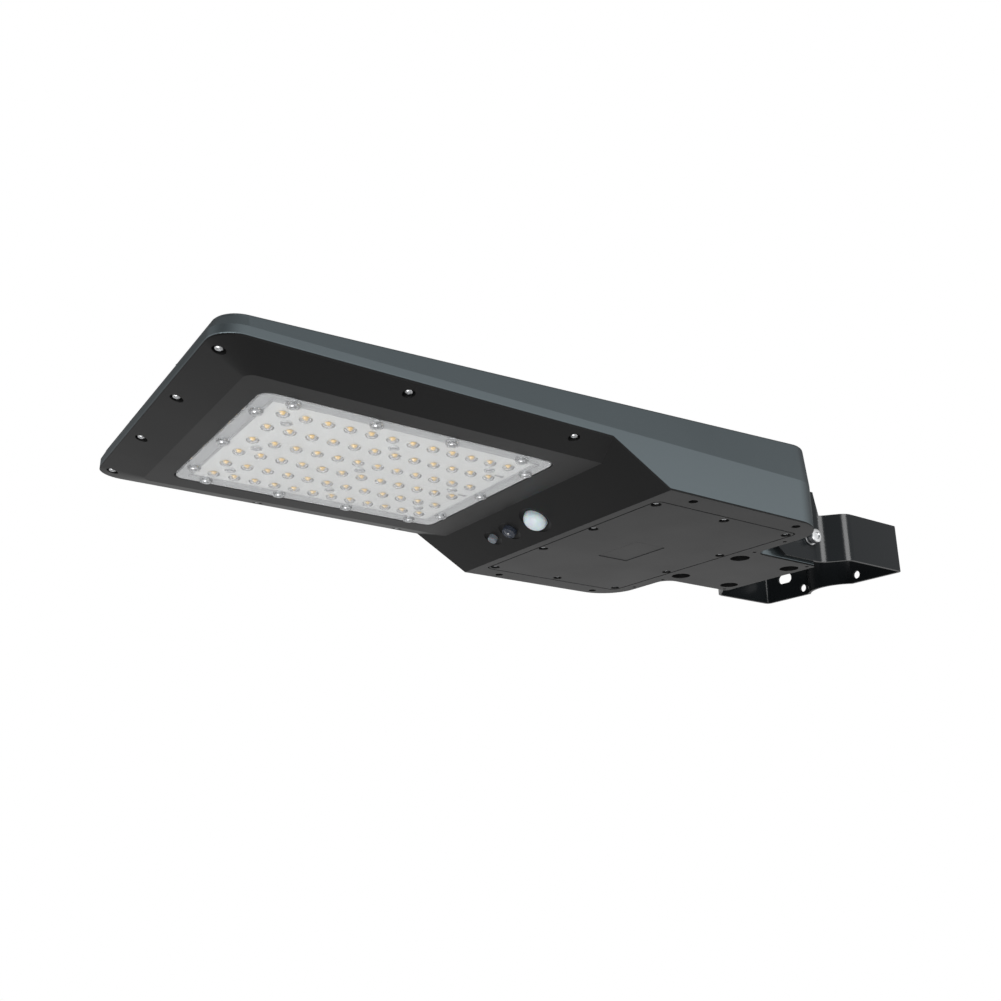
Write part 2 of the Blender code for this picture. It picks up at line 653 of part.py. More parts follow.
def make_pivot(side):
    """Build the bolt, washers and nut that clamp one wing to the arm."""
    name = SIDE_NAMES[side]
    direction = (0.0, side, 0.0)

    def at(distance):
        return facing(direction, (PIVOT_X, side * distance, PIVOT_Z))

    inner = BOLT_RADIUS + BOLT_CLEARANCE
    washer_y = WING_HALF_GAP + BRACKET_SHEET + GAP
    spring_y = washer_y + WASHER_THICKNESS + GAP
    head_y = spring_y + SPRING_THICKNESS + GAP
    nut_y = ARM_HALF_WIDTH - WALL - GAP - NUT_THICKNESS
    tail = nut_y - BOLT_TAIL - head_y
    washer = [(WASHER_RADIUS, WASHER_THICKNESS), (WASHER_RADIUS, 0.0), (inner, 0.0),
              (inner, WASHER_THICKNESS)]
    add_part(turned("pivot_washer_" + name, washer, 22, at(washer_y)), "bright_steel")
    spring = [(SPRING_RADIUS, SPRING_THICKNESS), (SPRING_RADIUS, 0.0), (inner, 0.0),
              (inner, SPRING_THICKNESS)]
    add_part(turned("spring_washer_" + name, spring, 20, at(spring_y)), "dark_steel")
    head = BOLT_HEAD_RADIUS
    tall = BOLT_HEAD_HEIGHT
    bolt = [(0.0, 0.8 * tall), (0.5 * head, 0.8 * tall), (0.55 * head, tall), (0.85 * head, 0.96 * tall),
            (head, 0.8 * tall), (head, 0.0), (BOLT_RADIUS, 0.0), (BOLT_RADIUS, tail + MM),
            (BOLT_RADIUS - MM, tail), (0.0, tail)]
    add_part(turned("pivot_bolt_" + name, bolt, 20, at(head_y)), "bright_steel")
    corner = NUT_ACROSS_FLATS / 2 / cos(pi / 6)
    outline = [(corner * cos(turn * pi / 3), corner * sin(turn * pi / 3)) for turn in range(6)]
    nut = slab("pivot_nut_" + name, outline, 0.0, NUT_THICKNESS, at(nut_y))
    bore = [(0.0, 0.0, inner, -MM, NUT_THICKNESS + MM)]
    cutter = cylinders("nut_bore_" + name, bore, 20, at(nut_y))
    combine(nut, add_cutter(cutter), "DIFFERENCE")
    add_part(nut, "bright_steel", smooth=0)


# ---------------------------------------------------------------- upper shell and solar panel

def make_upper_shell(parent):
    """Build the cast upper shell: side walls, roof frame and the arm that the wings clamp."""
    top = roof_z

    def ring(inset, height):
        return [(x, y, height(x)) for x, y in body_outline(inset)]

    crease = CREASE_STEP + WALL_DRAFT
    loops = [ring(0.0, lambda x: BOX_Z - MM), ring(0.0, lambda x: CREASE_Z),
             ring(CREASE_STEP, lambda x: CREASE_Z + 0.3 * MM),
             ring(crease, lambda x: top(x) - ROOF_ROUND),
             ring(crease + 0.3 * ROOF_ROUND, lambda x: top(x) - 0.3 * ROOF_ROUND),
             ring(crease + ROOF_ROUND, top)]
    shell = loft("upper_shell", loops)
    arm = slab("arm_block", arm_outline(0.0), BOX_Z - MM, ARM_TOP_Z)
    combine(shell, add_cutter(arm), "UNION")
    hollow_z = BOX_Z - 30 * MM
    inner = [ring(WALL, lambda x: hollow_z), ring(WALL, lambda x: CREASE_Z),
             ring(crease + WALL, lambda x: top(x) - ROOF_SHEET)]
    combine(shell, add_cutter(loft("shell_hollow", inner)), "DIFFERENCE")
    arm_hollow = slab("arm_hollow", arm_outline(WALL), hollow_z, ARM_TOP_Z - WALL)
    combine(shell, add_cutter(arm_hollow), "DIFFERENCE")
    combine(shell, underside("wall_foot", 5 * MM, TRAY_EDGE + GAP), "INTERSECT")

    embed = ROOF_SHEET - 1.2 * MM
    bosses = []
    holes = []
    for x, y, flange_z in flange_screw_places():
        foot = flange_z + TRAY_SHEET + FLANGE_PAD_HEIGHT + GAP
        bosses.append((x, y, SHELL_BOSS_RADIUS, foot, top(x) - embed))
        holes.append((x, y, HOLE_RADIUS, foot - MM, flange_z + FLANGE_BORE_DEPTH + FLANGE_SCREW_LENGTH + MM))
    for x, y in rim_hole_places():
        foot = BOX_Z + RIM_HOLE_DEPTH + TRAY_SHEET + GAP
        bosses.append((x, y, SHELL_BOSS_RADIUS, foot, top(x) - embed))
        holes.append((x, y, HOLE_RADIUS, foot - MM, foot + 12 * MM))
    for x, y in controller_post_places():
        foot = CONTROLLER_Z + BOARD_THICKNESS + GAP
        bosses.append((x, y, SHELL_BOSS_RADIUS, foot, top(x) - embed))
        holes.append((x, y, 0.8 * SCREW_RADIUS, foot - MM, foot + 6 * MM))
    combine(shell, add_cutter(cylinders("shell_bosses", bosses, HOLE_STEPS)), "UNION")
    combine(shell, add_cutter(cylinders("shell_boss_holes", holes, HOLE_STEPS)), "DIFFERENCE")

    turn = Matrix.Rotation(-pi / 2, 4, "X")
    reach = WING_HALF_GAP - GAP
    for side in SIDES:
        start = side * (ARM_HALF_WIDTH - 1.2 * MM)
        boss = [(PIVOT_X, -PIVOT_Z, PIVOT_BOSS_RADIUS, min(start, side * reach), max(start, side * reach))]
        pad = cylinders("pivot_boss_" + SIDE_NAMES[side], boss, 24, turn)
        combine(shell, add_cutter(pad), "UNION")
    bore = [(PIVOT_X, -PIVOT_Z, BOLT_RADIUS + BOLT_CLEARANCE, -FAR, FAR)]
    combine(shell, add_cutter(cylinders("pivot_bore", bore, 20, turn)), "DIFFERENCE")

    recess = panel_slab("panel_recess", SEAL_WIDTH + 2 * GAP, -RECESS_DEPTH, 20 * MM)
    combine(shell, add_cutter(recess), "DIFFERENCE")
    add_part(shell, "gunmetal", parent, smooth=30)


def panel_slab(name, grow, z0, z1):
    """Return a slab parallel to the roof, as large as the panel grown by a margin."""
    length = BODY_LENGTH / cos(ROOF_ANGLE)
    outline = rectangle(PANEL_MARGIN - grow, length - PANEL_MARGIN + grow,
                        BODY_HALF_WIDTH - PANEL_MARGIN + grow,
                        PANEL_CORNER + grow, PANEL_CORNER + grow)
    place = Matrix.Translation((BODY_REAR_X, 0.0, ROOF_REAR_Z)) @ Matrix.Rotation(ROOF_ANGLE, 4, "Y")
    return slab(name, outline, z0, z1, place)


def make_solar_panel(parent):
    """Build the glass laminate in the roof and the rubber seal around it."""
    floor = -RECESS_DEPTH + GAP
    panel = panel_slab("solar_panel", 0.0, floor, floor + PANEL_THICKNESS)
    add_part(panel, "solar_glass", parent, smooth=0)
    seal = panel_slab("panel_seal", SEAL_WIDTH + GAP, floor, floor + PANEL_THICKNESS)
    window = panel_slab("seal_window", GAP, -FAR, FAR)
    combine(seal, add_cutter(window), "DIFFERENCE")
    add_part(seal, "black_rubber", parent, smooth=0)


# ---------------------------------------------------------------- lower housing

def cover_slab(name, grow, z0, z1):
    """Return a slab shaped like the battery cover, grown by a margin."""
    outline = rectangle(COVER_REAR_X - grow, COVER_FRONT_X + grow, COVER_HALF_WIDTH + grow,
                        max(COVER_CORNER + grow, MM), max(COVER_CORNER + grow, MM))
    return slab(name, outline, z0, z1)


def lens_slab(name, grow, z0, z1):
    """Return a slab shaped like the lens plate, grown by a margin."""
    radius = max(LENS_CORNER + grow, MM)
    outline = rectangle(LENS_REAR_X - grow, LENS_FRONT_X + grow, LENS_HALF_WIDTH + grow, radius, radius)
    return slab(name, outline, z0, z1)


def sensor_places():
    """Return the sensors on the sloped face as (y, radius)."""
    return [(0.0, PIR_RADIUS), (INDICATOR_Y, INDICATOR_RADIUS), (BUTTON_Y, BUTTON_RADIUS)]


def make_lower_housing(parent):
    """Build the cast tray that closes the head from below."""
    tray = slab("lower_housing", full_outline(0.0), BOX_Z - MM, FAR / 2)
    outer_face = underside("underside_face", 5 * MM, 0.0)
    combine(tray, outer_face, "INTERSECT")
    combine(tray, underside("underside_inner", 5 * MM, TRAY_SHEET), "DIFFERENCE")
    ring = slab("rim_step", full_outline(-4 * MM), BOX_Z - MM, FAR / 2)
    core = add_cutter(slab("rim_core", full_outline(WALL + 0.7 * MM), -FAR, FAR))
    combine(ring, core, "DIFFERENCE")
    combine(ring, underside("rim_step_face", 5 * MM, TRAY_EDGE), "INTERSECT")
    combine(tray, add_cutter(ring), "DIFFERENCE")

    pads = []
    bores = []
    holes = []
    for x, y, flange_z in flange_screw_places():
        pads.append((x, y, FLANGE_PAD_RADIUS, BOX_Z, flange_z + TRAY_SHEET + FLANGE_PAD_HEIGHT))
        bores.append((x, y, FLANGE_BORE_RADIUS, BOX_Z, flange_z + FLANGE_BORE_DEPTH))
        holes.append((x, y, HOLE_RADIUS, BOX_Z, FAR))
    for x, y in rim_hole_places():
        pads.append((x, y, RIM_HOLE_RADIUS + 2 * MM, BOX_Z - MM, BOX_Z + RIM_HOLE_DEPTH + TRAY_SHEET))
        bores.append((x, y, RIM_HOLE_RADIUS, BOX_Z - MM, BOX_Z + RIM_HOLE_DEPTH))
        holes.append((x, y, HOLE_RADIUS, BOX_Z - MM, FAR))
    for x, y in cup_places():
        pads.append((x, y, CUP_RADIUS + CUP_WALL, BOX_Z - MM, BOX_Z + CUP_DEPTH + CUP_WALL))
        bores.append((x, y, CUP_RADIUS, BOX_Z - MM, BOX_Z + CUP_DEPTH))
        holes.append((x, y, 1.7 * SCREW_RADIUS, BOX_Z - MM, FAR))
    pad_mesh = add_cutter(cylinders("tray_pads", pads, BORE_STEPS))
    combine(pad_mesh, underside("pad_face", 5 * MM, 0.05 * MM), "INTERSECT")
    combine(tray, pad_mesh, "UNION")

    ledge = add_cutter(cover_slab("cover_ledge", COVER_GAP + LEDGE_WALL, BOX_Z + 0.05 * MM, LEDGE_TOP_Z))
    combine(tray, ledge, "UNION")
    posts = [(x, y, SHELL_BOSS_RADIUS - 0.4 * MM, LEDGE_Z + MM, LEDGE_TOP_Z + COVER_POST_HEIGHT)
             for x, y in cover_screw_places()]
    combine(tray, add_cutter(cylinders("cover_posts", posts, HOLE_STEPS)), "UNION")
    opening = add_cutter(cover_slab("cover_opening", -COVER_LEDGE, -FAR, FAR))
    combine(tray, opening, "DIFFERENCE")
    pocket = add_cutter(cover_slab("cover_pocket", COVER_GAP, -FAR, LEDGE_Z))
    combine(tray, pocket, "DIFFERENCE")
    window = add_cutter(lens_slab("lens_window", LENS_GAP, -FAR, FAR))
    combine(tray, window, "DIFFERENCE")

    holes += [(x, y, HOLE_RADIUS, LEDGE_Z - MM, FAR) for x, y in cover_screw_places()]
    combine(tray, add_cutter(cylinders("tray_bores", bores, BORE_STEPS)), "DIFFERENCE")
    combine(tray, add_cutter(cylinders("tray_holes", holes, HOLE_STEPS)), "DIFFERENCE")
    drains = [(ARM_END_X + 8 * MM, ARM_HALF_WIDTH - 5 * MM),
              (BODY_REAR_X + 2.5 * MM, ARM_HALF_WIDTH + 3 * MM),
              (BODY_REAR_X + 6.6 * MM, BODY_HALF_WIDTH - 51.3 * MM)]
    ports = [(x, side * y, DRAIN_RADIUS, -FAR, FAR) for x, y in drains for side in SIDES]
    combine(tray, add_cutter(cylinders("drains", ports, HOLE_STEPS)), "DIFFERENCE")

    for number, (y, radius) in enumerate(sensor_places()):
        frame = sensor_frame(y)
        dish = [(0.0, 0.0, radius + SENSOR_RECESS_MARGIN, -SENSOR_RECESS_DEPTH, 10 * MM)]
        combine(tray, add_cutter(cylinders("sensor_dish_%d" % number, dish, 20, frame)), "DIFFERENCE")
        port = [(0.0, 0.0, radius + SENSOR_FIT, -6 * MM, 10 * MM)]
        combine(tray, add_cutter(cylinders("sensor_port_%d" % number, port, 20, frame)), "DIFFERENCE")
    inner = -TRAY_SHEET * cos(SLOPE_ANGLE) + 0.8 * MM
    standoffs = [(0.0, y, SENSOR_POST_RADIUS, GAP - SENSOR_BOARD_DEPTH, inner) for y in SENSOR_POST_STEPS]
    combine(tray, add_cutter(cylinders("sensor_posts", standoffs, HOLE_STEPS, sensor_frame(0.0))), "UNION")
    add_part(tray, "black_paint", parent, smooth=30)


# ---------------------------------------------------------------- light source

def led_places():
    """Return the centres of the light-emitting diodes."""
    first_x = LENS_REAR_X + LENS_REAR_MARGIN
    first_y = -(LED_ROWS - 1) * LED_PITCH_Y / 2
    return [(first_x + column * LED_PITCH_X, first_y + row * LED_PITCH_Y)
            for column in range(LED_COLUMNS) for row in range(LED_ROWS)]


def lens_bumps():
    """Return one mesh of the lens domes, each sunk a little into the plate."""
    bm = bmesh.new()
    sunk = 0.5 * MM
    size = Matrix.Diagonal((BUMP_RADIUS, BUMP_RADIUS, BUMP_HEIGHT, 1.0))
    for x, y in led_places():
        place = Matrix.Translation((x, y, LENS_FACE_Z))
        bmesh.ops.create_uvsphere(bm, u_segments=7, v_segments=3, radius=1.0, matrix=place @ size)
    bmesh.ops.bisect_plane(bm, geom=bm.verts[:] + bm.edges[:] + bm.faces[:],
                           plane_co=(0.0, 0.0, LENS_FACE_Z + sunk), plane_no=(0.0, 0.0, 1.0),
                           clear_outer=True)
    bmesh.ops.holes_fill(bm, edges=[edge for edge in bm.edges if edge.is_boundary], sides=0)
    return mesh_object("lens_bumps", bm)


def make_lens_plate(parent):
    """Build the clear plate with its domes, screw bosses and hollow back."""
    plate = lens_slab("lens_plate", 0.0, LENS_FACE_Z, LENS_BACK_Z)
    hollow = add_cutter(lens_slab("lens_hollow", -LENS_BORDER, LENS_FACE_Z + LENS_SKIN, FAR))
    combine(plate, hollow, "DIFFERENCE")
    combine(plate, add_cutter(lens_bumps()), "UNION")
    bosses = [(x, y, LENS_BOSS_RADIUS, LENS_FACE_Z - LENS_BOSS_HEIGHT, LENS_FACE_Z + MM)
              for x, y in lens_screw_places()]
    combine(plate, add_cutter(cylinders("lens_bosses", bosses, BORE_STEPS)), "UNION")
    combine(plate, screw_holes("lens_plate_holes", lens_screw_places()), "DIFFERENCE")
    add_part(plate, "clear_plastic", parent, smooth=35)


def screw_holes(name, places):
    """Return a cutter that clears the screws at some places all the way through."""
    items = [(x, y, HOLE_RADIUS, -FAR, FAR) for x, y in places]
    return add_cutter(cylinders(name, items, HOLE_STEPS))


def make_light_engine(parent):
    """Build the gasket, the board with its diodes and the aluminium plate behind it."""
    gasket = lens_slab("lens_gasket", HEAT_PLATE_OVERLAP - 2 * MM, GASKET_Z, GASKET_Z + GASKET_THICKNESS)
    window = add_cutter(lens_slab("gasket_window", -LENS_BORDER, -FAR, FAR))
    combine(gasket, window, "DIFFERENCE")
    combine(gasket, screw_holes("gasket_holes", lens_screw_places()), "DIFFERENCE")
    add_part(gasket, "black_rubber", parent, smooth=0)

    board = lens_slab("led_board", -LENS_BORDER - 0.6 * MM, BOARD_Z, BOARD_Z + BOARD_THICKNESS)
    chips = [((x, y, BOARD_Z - LED_HEIGHT / 2 + 0.2 * MM), (LED_SIZE, LED_SIZE, LED_HEIGHT + 0.4 * MM))
             for x, y in led_places()]
    combine(board, add_cutter(boxes("led_chips", chips)), "UNION")
    add_part(board, "white_board", parent, smooth=0)

    top = HEAT_PLATE_Z + HEAT_PLATE_THICKNESS
    plate = lens_slab("heat_plate", HEAT_PLATE_OVERLAP, HEAT_PLATE_Z, top)
    combine(plate, screw_holes("heat_plate_holes", lens_screw_places()), "DIFFERENCE")
    add_part(plate, "bare_aluminium", parent, smooth=0)


# ---------------------------------------------------------------- battery box

def make_battery_cover(parent):
    """Build the cover of the battery box, with its screw recesses and label recess, and its gasket."""
    cover = cover_slab("battery_cover", 0.0, BOX_Z, COVER_INNER_Z)
    floor = BOX_Z + HEAD_SINK + SCREW_HEAD_HEIGHT + GAP
    bores = [(x, y, COUNTERBORE_RADIUS, BOX_Z - MM, floor) for x, y in cover_screw_places()]
    combine(cover, add_cutter(cylinders("cover_bores", bores, BORE_STEPS)), "DIFFERENCE")
    combine(cover, screw_holes("cover_holes", cover_screw_places()), "DIFFERENCE")
    label = [((COVER_MID_X + 0.01 * BOX_LENGTH, 0.0, BOX_Z), (*LABEL_SIZE, 2 * LABEL_DEPTH))]
    combine(cover, add_cutter(boxes("label_recess", label)), "DIFFERENCE")
    add_part(cover, "black_paint", parent, smooth=30)

    gasket = cover_slab("cover_gasket", 0.0, COVER_GASKET_Z, COVER_GASKET_Z + COVER_GASKET)
    window = add_cutter(cover_slab("cover_gasket_window", -COVER_LEDGE, -FAR, FAR))
    combine(gasket, window, "DIFFERENCE")
    combine(gasket, screw_holes("cover_gasket_holes", cover_screw_places()), "DIFFERENCE")
    add_part(gasket, "black_rubber", parent, smooth=0)


def make_battery(parent):
    """Build the wrapped pack of cells and the strap that holds it down on the ledge."""
    cell_z = COVER_INNER_Z + 1.5 * MM + CELL_RADIUS
    turn = Matrix.Translation((COVER_MID_X, 0.0, cell_z)) @ Matrix.Rotation(pi / 2, 4, "Y")
    first = -(CELL_COLUMNS - 1) * CELL_PITCH / 2
    half = CELL_LENGTH / 2
    odd = [(0.0, first + step * CELL_PITCH, CELL_RADIUS, -half, half) for step in range(0, CELL_COLUMNS, 2)]
    even = [(0.0, first + step * CELL_PITCH, CELL_RADIUS, -half, half) for step in range(1, CELL_COLUMNS, 2)]
    pack = cylinders("battery_pack", odd, 16, turn)
    combine(pack, add_cutter(cylinders("battery_even_cells", even, 16, turn)), "UNION")
    add_part(pack, "blue_wrap", parent, smooth=30)

    sheet = STRAP_SHEET
    foot_z = LEDGE_TOP_Z + GAP
    top_z = cell_z + CELL_RADIUS + GAP
    front = COVER_FRONT_X - COVER_LEDGE - 0.5 * MM
    rear = COVER_REAR_X + COVER_LEDGE + 0.5 * MM
    outline = [(rear - STRAP_FOOT, foot_z), (rear + sheet, foot_z), (rear + sheet, top_z),
               (front - sheet, top_z), (front - sheet, foot_z), (front + STRAP_FOOT, foot_z),
               (front + STRAP_FOOT, foot_z + sheet), (front, foot_z + sheet), (front, top_z + sheet),
               (rear, top_z + sheet), (rear, foot_z + sheet), (rear - STRAP_FOOT, foot_z + sheet)]
    strap = side_slab("battery_strap", outline, STRAP_WIDTH / 2)
    add_part(strap, "bare_aluminium", parent, smooth=0)


def controller_post_places():
    """Return the four posts that carry the charge controller."""
    length, width = CONTROLLER_SIZE
    return [(COVER_MID_X + end * (length / 2 - 6 * MM), side * (width / 2 - 6 * MM))
            for end in SIDES for side in SIDES]


def make_controller(parent):
    """Build the charge controller board with its coil, capacitors, connectors and heat sink."""
    length, width = CONTROLLER_SIZE
    middle = (COVER_MID_X, 0.0, CONTROLLER_Z + BOARD_THICKNESS / 2)
    board = boxes("charge_controller", [(middle, (length, width, BOARD_THICKNESS))])
    top = CONTROLLER_Z + BOARD_THICKNESS - 0.3 * MM

    def block(along, across, size_x, size_y, height):
        centre = (COVER_MID_X + along * MM, across * MM, top + height * MM / 2)
        return (centre, (size_x * MM, size_y * MM, height * MM))

    blocks = [block(0, 0, 18, 18, 8), block(-30, 0, 10, 24, 7), block(30, 18, 12, 14, 6),
              block(30, -6, 12, 14, 6), block(5, 27, 24, 10, 9)]
    combine(board, add_cutter(boxes("controller_blocks", blocks)), "UNION")
    cans = [(COVER_MID_X + x * MM, y * MM, 4.5 * MM, top, top + 11 * MM)
            for x, y in ((-12, 27), (-25, 27), (0, -26), (12, -26))]
    combine(board, add_cutter(cylinders("controller_cans", cans, HOLE_STEPS)), "UNION")
    holes = [(x, y, HOLE_RADIUS, -FAR, FAR) for x, y in controller_post_places()]
    combine(board, add_cutter(cylinders("controller_holes", holes, HOLE_STEPS)), "DIFFERENCE")
    add_part(board, "green_board", parent, smooth=30)


# ---------------------------------------------------------------- sensors

def stepped_plug(radius, proud, crown):
    """Return the profile of a plug that a flange inside the sloped face holds."""
    sheet = TRAY_SHEET * cos(SLOPE_ANGLE)
    flange_top = -sheet - GAP
    flange_foot = flange_top - SENSOR_FLANGE_THICKNESS
    wide = radius + SENSOR_FLANGE
    return crown + [(radius, proud), (radius, flange_top), (wide, flange_top),
                    (wide, flange_foot), (0.0, flange_foot)]


def make_sensors(parent):
    """Build the motion sensor's dome, the indicator lens and the board behind them."""
    base = 0.2 * MM
    steps = 6
    crown = []
    for step in range(steps):
        angle = pi / 2 * (1 - step / steps)
        crown.append((PIR_RADIUS * cos(angle), base + PIR_HEIGHT * sin(angle)))
    crown[0] = (0.0, base + PIR_HEIGHT)
    profile = stepped_plug(PIR_RADIUS, base, crown)
    dome = turned("pir_dome", profile, 20, sensor_frame(0.0))
    add_part(dome, "milky_plastic", parent, smooth=25)

    edge = 0.8 * MM
    crown = [(0.0, INDICATOR_PROUD), (INDICATOR_RADIUS - edge, INDICATOR_PROUD)]
    profile = stepped_plug(INDICATOR_RADIUS, INDICATOR_PROUD - edge, crown)
    lens = turned("indicator_lens", profile, 18, sensor_frame(INDICATOR_Y))
    add_part(lens, "clear_plastic", parent, smooth=25)

    across, long = SENSOR_BOARD_SIZE
    frame = sensor_frame((BUTTON_Y + 22 * MM) / 2)
    centre = (0.0, 0.0, -SENSOR_BOARD_DEPTH - BOARD_THICKNESS / 2)
    board = boxes("sensor_board", [(centre, (across, long, BOARD_THICKNESS))], frame)
    face = -SENSOR_BOARD_DEPTH - 0.3 * MM
    inner = -TRAY_SHEET * cos(SLOPE_ANGLE) - GAP - SENSOR_FLANGE_THICKNESS
    middle_y = frame.translation.y
    can_top = inner - 0.8 * MM
    switch_top = inner - BUTTON_TRAVEL - 0.5 * MM
    parts = [(0.0, -middle_y, 4.6 * MM, face, can_top),
             (0.0, INDICATOR_Y - middle_y, 2.5 * MM, face, can_top),
             (0.0, BUTTON_Y - middle_y, 3.2 * MM, face, switch_top)]
    combine(board, add_cutter(cylinders("sensor_cans", parts, 10, frame)), "UNION")
    add_part(board, "green_board", parent, smooth=30)


def make_button(parent):
    """Build the push button, whose own origin is on the axis it slides along."""
    hinge = bpy.data.objects.new("button_axis", None)
    hinge.location = sensor_frame(BUTTON_Y).translation
    PARTS.objects.link(hinge)
    hinge.parent = parent
    hinge.matrix_parent_inverse = Matrix.Translation(-parent.location)
    edge = 0.6 * MM
    crown = [(0.0, BUTTON_PROUD), (BUTTON_RADIUS - edge, BUTTON_PROUD)]
    profile = stepped_plug(BUTTON_RADIUS, BUTTON_PROUD - edge, crown)
    button = turned("power_button", profile, 18, sensor_frame(BUTTON_Y))
    add_part(button, "grey_plastic", None, smooth=25)
    button.parent = hinge
    button.matrix_parent_inverse = Matrix.Translation(-hinge.location)


# ---------------------------------------------------------------- screws

def screw_profile(head_radius, length):
    """Return the profile of a pan-head screw whose head stands on its own XY plane."""
    tall = SCREW_HEAD_HEIGHT
    return [(0.0, tall), (0.6 * head_radius, 0.94 * tall), (0.9 * head_radius, 0.66 * tall),
            (head_radius, 0.25 * tall), (head_radius, 0.0), (SCREW_RADIUS, 0.0),
            (SCREW_RADIUS, 0.6 * MM - length), (0.0, -length)]


def make_screws(parent):
    """Build every screw that shows on the underside."""
    down = (0.0, 0.0, -1.0)
    groups = [("lens_screw", LENS_SCREW_HEAD, LENS_SCREW_LENGTH,
               [(x, y, LENS_FACE_Z - LENS_BOSS_HEIGHT - GAP) for x, y in lens_screw_places()]),
              ("cover_screw", SMALL_SCREW_HEAD, COVER_SCREW_LENGTH,
               [(x, y, BOX_Z + HEAD_SINK + SCREW_HEAD_HEIGHT) for x, y in cover_screw_places()]),
              ("flange_screw", SMALL_SCREW_HEAD, FLANGE_SCREW_LENGTH,
               [(x, y, z + FLANGE_BORE_DEPTH - GAP) for x, y, z in flange_screw_places()])]
    for name, head, length, places in groups:
        profile = screw_profile(head, length)
        for number, place in enumerate(places, 1):
            screw = turned("%s_%02d" % (name, number), profile, SCREW_STEPS, facing(down, place))
            add_part(screw, "bright_steel", parent, smooth=35)


def build_lamp():
    """Build the lamp: the fixed bracket, then the head that tilts about the pivot."""
    make_bracket()
    for side in SIDES:
        make_pivot(side)
    head = bpy.data.objects.new("head_axis", None)
    head.location = (PIVOT_X, 0.0, PIVOT_Z)
    PARTS.objects.link(head)
    make_upper_shell(head)
    make_solar_panel(head)
    make_lower_housing(head)
    make_lens_plate(head)
    make_light_engine(head)
    make_battery_cover(head)
    make_battery(head)
    make_controller(head)
    make_sensors(head)
    make_button(head)
    make_screws(head)


clear_scene()
PARTS = new_collection("solar_street_lamp")
CUTTERS = new_collection("cutters")
build_lamp()
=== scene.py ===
"""Looks of an all-in-one solar street lamp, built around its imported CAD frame.

Units are metres with +Z up and +X from the pole towards the tip of the lamp.  Places come from the
boxes of the CAD nodes, and each sub-assembly is a class that holds the rest of its sizes.
"""

import logging
from collections.abc import Iterable, Sequence
from dataclasses import dataclass, field
from enum import Enum
from math import atan2, cos, pi, radians, sin, sqrt, tan

import bmesh
import bpy
from mathutils import Matrix, Vector


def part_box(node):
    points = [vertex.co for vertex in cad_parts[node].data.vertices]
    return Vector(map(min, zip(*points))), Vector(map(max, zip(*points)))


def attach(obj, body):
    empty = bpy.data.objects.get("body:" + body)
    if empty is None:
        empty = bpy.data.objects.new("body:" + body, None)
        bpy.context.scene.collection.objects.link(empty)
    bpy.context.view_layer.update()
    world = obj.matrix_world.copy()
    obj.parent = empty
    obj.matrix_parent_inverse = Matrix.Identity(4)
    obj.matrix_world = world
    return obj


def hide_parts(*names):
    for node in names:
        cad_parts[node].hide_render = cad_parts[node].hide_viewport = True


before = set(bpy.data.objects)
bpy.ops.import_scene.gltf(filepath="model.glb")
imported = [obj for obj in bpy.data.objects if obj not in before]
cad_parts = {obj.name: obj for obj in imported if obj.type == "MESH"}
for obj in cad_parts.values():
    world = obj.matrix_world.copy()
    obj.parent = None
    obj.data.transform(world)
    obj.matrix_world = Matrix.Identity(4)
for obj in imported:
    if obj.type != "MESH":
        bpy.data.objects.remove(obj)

LOG = logging.getLogger("solar_street_lamp")
MM = 0.001
FAR = 300 * MM              # past every face that a cutter has to clear
OVERRUN = 5 * MM            # how far a shape that trims another reaches past it
GAP = 0.3 * MM              # between pieces that touch
PAST = 1.0 * MM             # how far a cutter starts outside the face that it cuts
LEAST_RADIUS = 1.0 * MM     # corners that nobody sees, or that are meant to look square
WELD = 0.002 * MM           # points that are closer than this become one
LEVEL = 0.01 * MM           # points that differ less in height are level
CORNER_STEPS = 12           # straight pieces in a rounded corner
HOLE_STEPS = 24             # sides of a screw hole
ROUND_STEPS = 40            # sides of a round recess or boss
TURNED_STEPS = 48           # sides of a turned piece that shows
FLAT_ANGLE = radians(0.1)   # faces that meet at less become one
SHARP_ANGLE = radians(11)
BEVEL_ANGLE = radians(25)
SCREW_HOLE_RADIUS = 2.25 * MM
SCREW_HEAD_HEIGHT = 2.3 * MM
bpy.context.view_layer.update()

Point2 = tuple[float, float]
Point3 = tuple[float, float, float]
Rod = tuple[float, float, float, float, float]
DOWN: Point3 = (0.0, 0.0, -1.0)


class Side(Enum):
    """A side of the lamp, by the sign of its Y."""

    LEFT = 1
    RIGHT = -1

    @property
    def label(self) -> str:
        """Return the side's word in the names of CAD nodes."""
        return self.name.lower()


class Drive(Enum):
    """The recess in a screw head."""

    CROSS = "cross"
    SOCKET = "socket"


class Solver(Enum):
    """The ways that Boolean steps are worked out."""

    EXACT = "EXACT"
    MANIFOLD = "MANIFOLD"


class Body(Enum):
    """The bodies of the frame that a piece can ride on."""

    BRACKET = "bracket"
    HEAD = "head"
    BUTTON = "button"


# ---------------------------------------------------------------- outlines and meshes

def bend(start: Point2, corner: Point2, end: Point2, radius: float) -> list[Point2]:
    """Round a corner between two straight stretches.

    Args:
        start: A point on the stretch that leads to the corner.
        corner: The corner itself.
        end: A point on the stretch that leaves it.
        radius: Radius of the arc.

    Returns:
        The points of the arc.
    """
    here = Vector(corner)
    back = (Vector(start) - here).normalized()
    ahead = (Vector(end) - here).normalized()
    half = back.angle(ahead) / 2
    middle = here + (back + ahead).normalized() * (radius / sin(half))
    first = here + back * (radius / tan(half)) - middle
    sweep = first.angle_signed(here + ahead * (radius / tan(half)) - middle)
    turns = [Matrix.Rotation(-sweep * step / CORNER_STEPS, 2) for step in range(CORNER_STEPS + 1)]
    return [tuple(middle + turn @ first) for turn in turns]


